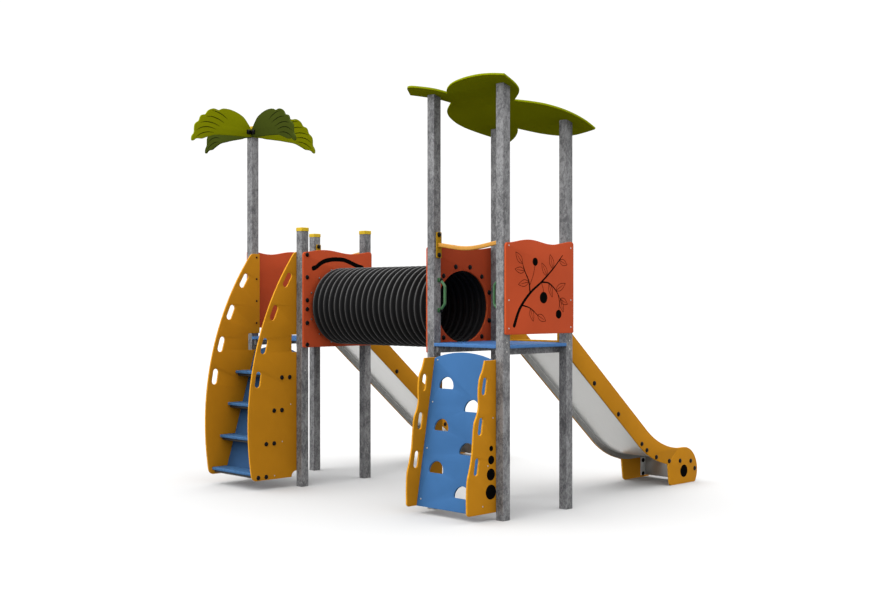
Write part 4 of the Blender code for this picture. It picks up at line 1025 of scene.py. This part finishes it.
ARC_BAND = [(0.094, 2.253), (0.130, 2.266), (0.186, 2.304), (0.254, 2.333), (0.337, 2.348),
            (0.422, 2.352), (0.513, 2.346), (0.605, 2.318), (0.691, 2.288), (0.763, 2.273)]
arc_outline = stroke(ARC_BAND, [0.050] + [0.045] * 9)
drawn("arc_inlay_left", LEFT_PANEL_OUT, [arc_outline])
drawn("arc_inlay_right", RIGHT_PANEL_OUT, [arc_outline], -X_AXIS)

CLIMB_DOTS = [((-0.103, 0.631), 0.024), ((-0.103, 0.531), 0.0385), ((-0.107, 0.405), 0.052),
              ((-0.107, 0.252), 0.065)]
dots = [circle(centre, radius, 48) for centre, radius in CLIMB_DOTS]
drawn("climb_dots_outer", CLIMB_FACE, dots)
drawn("climb_dots_inner", CLIMB_FAR_FACE, dots, -X_AXIS)

foot_disc = [circle(DISC, 0.065, 48)]
for side, tower in TOWERS:
    middle = tower + BAY / 2
    drawn(f"foot_disc_{side}_outer", middle + SLIDE_FACE, foot_disc)
    drawn(f"foot_disc_{side}_inner", middle - SLIDE_FACE, foot_disc, -X_AXIS)


def leaf_lines(root, tip, width, line=0.0052):
    """An engraved leaf from root to tip: two bowed edges and a middle rib."""
    root, tip = np.asarray(root, float), np.asarray(tip, float)
    along = tip - root
    across = np.array([-along[1], along[0]]) / np.linalg.norm(along)
    share = np.array([0.0, 0.18, 0.42, 0.68, 0.88, 1.0])
    bow = np.array([0.0, 0.62, 1.0, 0.78, 0.34, 0.0]) * width / 2
    spine = root + share[:, None] * along
    edges = [stroke(spine + side * bow[:, None] * across, [line] * 6, 6) for side in (1, -1)]
    rib = stroke(root + np.array([[0.04], [0.40], [0.80]]) * along, [line, line * 0.9, line * 0.5], 6)
    return [*edges, rib]


BOUGH = stroke([(0.075, 1.700), (0.150, 1.850), (0.285, 1.985), (0.440, 2.085), (0.600, 2.205),
                (0.735, 2.330)], [0.036, 0.030, 0.024, 0.019, 0.014, 0.008])
TWIGS = [
    stroke([(0.285, 1.985), (0.270, 2.085), (0.215, 2.180), (0.185, 2.245)], [0.017, 0.013, 0.010, 0.006]),
    stroke([(0.440, 2.085), (0.545, 2.075), (0.640, 2.010), (0.700, 1.935)], [0.016, 0.013, 0.010, 0.006]),
    stroke([(0.175, 1.880), (0.290, 1.850), (0.385, 1.790)], [0.014, 0.010, 0.006]),
]
FRUIT = [circle(centre, radius, 40) for centre, radius in
         (((0.470, 1.945), 0.052), ((0.355, 2.265), 0.036), ((0.680, 1.795), 0.040))]
STALKS = [stroke([(0.440, 2.080), (0.462, 2.030), (0.470, 1.990)], [0.006] * 3),
          stroke([(0.285, 2.060), (0.330, 2.150), (0.352, 2.235)], [0.006] * 3),
          stroke([(0.665, 1.985), (0.690, 1.900), (0.682, 1.830)], [0.006] * 3)]
LEAVES = [((0.185, 2.245), (0.095, 2.345), 0.060), ((0.215, 2.180), (0.085, 2.195), 0.055),
          ((0.270, 2.085), (0.130, 2.060), 0.058), ((0.600, 2.205), (0.560, 2.335), 0.060),
          ((0.520, 2.140), (0.445, 2.255), 0.056), ((0.690, 2.285), (0.800, 2.245), 0.054),
          ((0.640, 2.010), (0.775, 2.075), 0.060), ((0.700, 1.935), (0.805, 1.885), 0.056),
          ((0.385, 1.790), (0.500, 1.735), 0.058), ((0.290, 1.850), (0.330, 1.735), 0.052),
          ((0.700, 1.935), (0.745, 1.815), 0.050), ((0.545, 2.075), (0.590, 1.950), 0.050)]
drawn("bough_inlay", PICTURE_FACE, [BOUGH, *TWIGS, *FRUIT])
leaf_outlines = [line for leaf in LEAVES for line in leaf_lines(*leaf)]
drawn("leaf_engraving", PICTURE_FACE, [*STALKS, *leaf_outlines], finish=GROOVE)

# Veins of the palm: from near each leaflet's edge towards the hub, in reach and height above
# the bottom of the boards.
VEINS = [
    [(0.565, 0.232), (0.500, 0.222), (0.430, 0.196), (0.375, 0.160)],
    [(0.640, 0.165), (0.570, 0.168), (0.490, 0.150), (0.420, 0.118)],
    [(0.715, 0.092), (0.640, 0.108), (0.555, 0.102), (0.475, 0.076)],
    [(0.760, 0.010), (0.690, 0.046), (0.605, 0.056), (0.520, 0.040)],
    [(0.765, -0.060), (0.700, -0.020), (0.625, 0.002), (0.545, 0.004)],
]
VEIN_WIDTHS = [0.003, 0.009, 0.009, 0.003]
PALM_TOP = 3.764
PALM_HUB = 0.084
PALM_DROP = 0.002


def vein_form(node, facing):
    """Tapered grooves on one face of a palm board, the same on its left and right half."""
    low, high, middle = box_of(node)
    hub = box_of("palm_post_cap")[2]
    thickness = abs(np.dot(high - low, facing))
    base = hub * (1 - np.abs(facing)) + middle * np.abs(facing) + facing * thickness / 2
    base[2] = SITE[2] + PALM_TOP - PALM_HUB - PALM_DROP
    form = Form()
    for vein in VEINS:
        right = stroke(vein, VEIN_WIDTHS, 8)
        for outline in (right, (right * (-1, 1))[::-1]):
            carry(form, [outline], FIGURE_ROWS, base, facing, 0)
    return form


for node, finish, slot_name, facing in (
        ("palm_leaf_along_y", LEAF_GROOVE, "leaf_board", X_AXIS),
        ("palm_leaf_along_x", DARK_LEAF_GROOVE, "dark_leaf_board", -Y_AXIS)):
    piece(node + "_veins_front", vein_form(node, facing), finish)
    piece(node + "_veins_back", vein_form(node, -facing), finish)


# Brackets.

PALM_BOARD_X = HALF_POST + 2 * FIT + BOARD
ANGLE_SHEET = 0.005
ANGLE_LEG = 0.064
ANGLE_HEIGHT = 0.044
ANGLE_LOW = 3.706
ANGLE_BOLT_IN = 0.036
ANGLE_BOLT_HEIGHT = 3.730


def angle_form():
    """A short angle iron, upright, on the palm boards: an L section of two legs."""
    leg, sheet = ANGLE_LEG, ANGLE_SHEET
    outline = np.array([(0, 0), (leg, 0), (leg, -sheet), (sheet, -sheet), (sheet, -leg), (0, -leg)])
    outline = outline[::-1] + (PALM_BOARD_X, -PALM_BOARD_X)
    rows = rounded_rows(ANGLE_LOW, ANGLE_LOW + ANGLE_HEIGHT, 0.0015, 2)
    return carry(Form(SITE), [outline], rows, ORIGIN, Z_AXIS, 0)


piece("palm_bracket_angle", angle_form(), BOLT, ["palm_bracket"])
near, far = PALM_BOARD_X + ANGLE_SHEET, PALM_BOARD_X + ANGLE_BOLT_IN
fixed("palm_bolt_caps", BIG_CAPS, [(X_AXIS, [(near, -far, ANGLE_BOLT_HEIGHT)]),
                                   (-Y_AXIS, [(far, -near, ANGLE_BOLT_HEIGHT)])])

HANDLE_BOLTS = [(0.020, 2.108), (0.020, 1.830)]
HANDLE_BOLT_OUT = HALF_POST + FIT + 0.030
fixed("handle_bolt_caps", HANDLE_CAPS,
      both_ways(RIGHT + HANDLE_BOLT_OUT, RIGHT + BAY - HANDLE_BOLT_OUT, HANDLE_BOLTS))


# Floor, light and camera.

FLOOR_HALF = 150.0
FLOOR_LEVEL = -0.0005
BACKDROP_SIDES = 64
HORIZON_BLUR = 0.02
CAMERA_PLACE = (10.943, -7.998, 1.924)


def make_stage(name, points, faces, finish):
    """One piece of the studio that the structure stands in."""
    mesh = bpy.data.meshes.new(name)
    mesh.from_pydata(points, [], faces)
    mesh.materials.append(finish.material)
    stage = bpy.data.objects.new(name, mesh)
    bpy.context.scene.collection.objects.link(stage)
    return stage


def make_floor():
    """A wide pale floor, just under the feet."""
    ways = ((-1, -1), (1, -1), (1, 1), (-1, 1))
    corners = [(FLOOR_HALF * x, FLOOR_HALF * y, FLOOR_LEVEL) for x, y in ways]
    finish = Finish("floor_white", (0.44, 0.44, 0.44), 0.9, Specular_IOR_Level=0.0)
    floor = make_stage("floor", corners, [(0, 1, 2, 3)], finish)
    floor.visible_diffuse = False


def make_backdrop():
    """A white wall all round, which only the camera sees."""
    angle = np.arange(BACKDROP_SIDES) * 2 * np.pi / BACKDROP_SIDES
    ring = np.stack([np.cos(angle), np.sin(angle), 0 * angle], -1) * FLOOR_HALF * 0.98
    points = np.vstack([ring - Z_AXIS * 0.01, ring + Z_AXIS * FLOOR_HALF])
    finish = Finish("backdrop_white", (0.0, 0.0, 0.0), 1.0, Specular_IOR_Level=0.0,
                    Emission_Color=(1, 1, 1, 1), Emission_Strength=1.05)
    wall = make_stage("backdrop", points.tolist(), ring_faces(2, BACKDROP_SIDES).tolist(), finish)
    for ray in ("diffuse", "glossy", "transmission", "shadow"):
        setattr(wall, "visible_" + ray, False)


def make_world(below, horizon, zenith):
    """A white studio dome, brightest overhead, with a dim lower half."""
    world = bpy.data.worlds.new("studio")
    bpy.context.scene.world = world
    world.use_nodes = True
    tree = world.node_tree
    split = tree.nodes.new("ShaderNodeSeparateXYZ")
    tree.links.new(tree.nodes.new("ShaderNodeTexCoord").outputs["Generated"], split.inputs[0])
    height = split.outputs[2]
    parts = []
    for start, end, low, high in ((-HORIZON_BLUR, 0.0, below, horizon),
                                  (0.0, 1.0, 0.0, zenith - horizon)):
        climb = tree.nodes.new("ShaderNodeMapRange")
        for socket, value in ((1, start), (2, end), (3, low), (4, high)):
            climb.inputs[socket].default_value = value
        tree.links.new(height, climb.inputs[0])
        parts.append(climb.outputs[0])
    total = tree.nodes.new("ShaderNodeMath")
    for socket, part in zip(total.inputs, parts):
        tree.links.new(part, socket)
    tree.links.new(total.outputs[0], tree.nodes["Background"].inputs["Strength"])
    tree.nodes["Background"].inputs["Color"].default_value = (1, 1, 1, 1)


def make_sun(name, towards, strength, angle):
    """A soft distant light that shines along a direction."""
    data = bpy.data.lights.new(name, "SUN")
    data.energy = strength
    data.angle = math.radians(angle)
    lamp = bpy.data.objects.new(name, data)
    u, v, back = plane_axes(-np.asarray(towards, float))
    lamp.matrix_world = Matrix(np.column_stack([u, v, back]).tolist()).to_4x4()
    bpy.context.scene.collection.objects.link(lamp)


def make_camera():
    """A level 50 mm camera at the photograph's place."""
    data = bpy.data.cameras.new("camera")
    data.lens = 50
    data.sensor_width = 36
    data.clip_end = 400
    camera = bpy.data.objects.new("camera", data)
    camera.location = SITE + CAMERA_PLACE
    camera.rotation_euler = (math.radians(90), 0, math.radians(45))
    bpy.context.scene.collection.objects.link(camera)
    bpy.context.scene.camera = camera


make_floor()
make_backdrop()
make_world(below=0.42, horizon=0.62, zenith=3.0)
make_sun("key", towards=(0.25, 1.0, -0.75), strength=2.0, angle=80)
make_camera()
bpy.context.scene.view_settings.view_transform = "Standard"
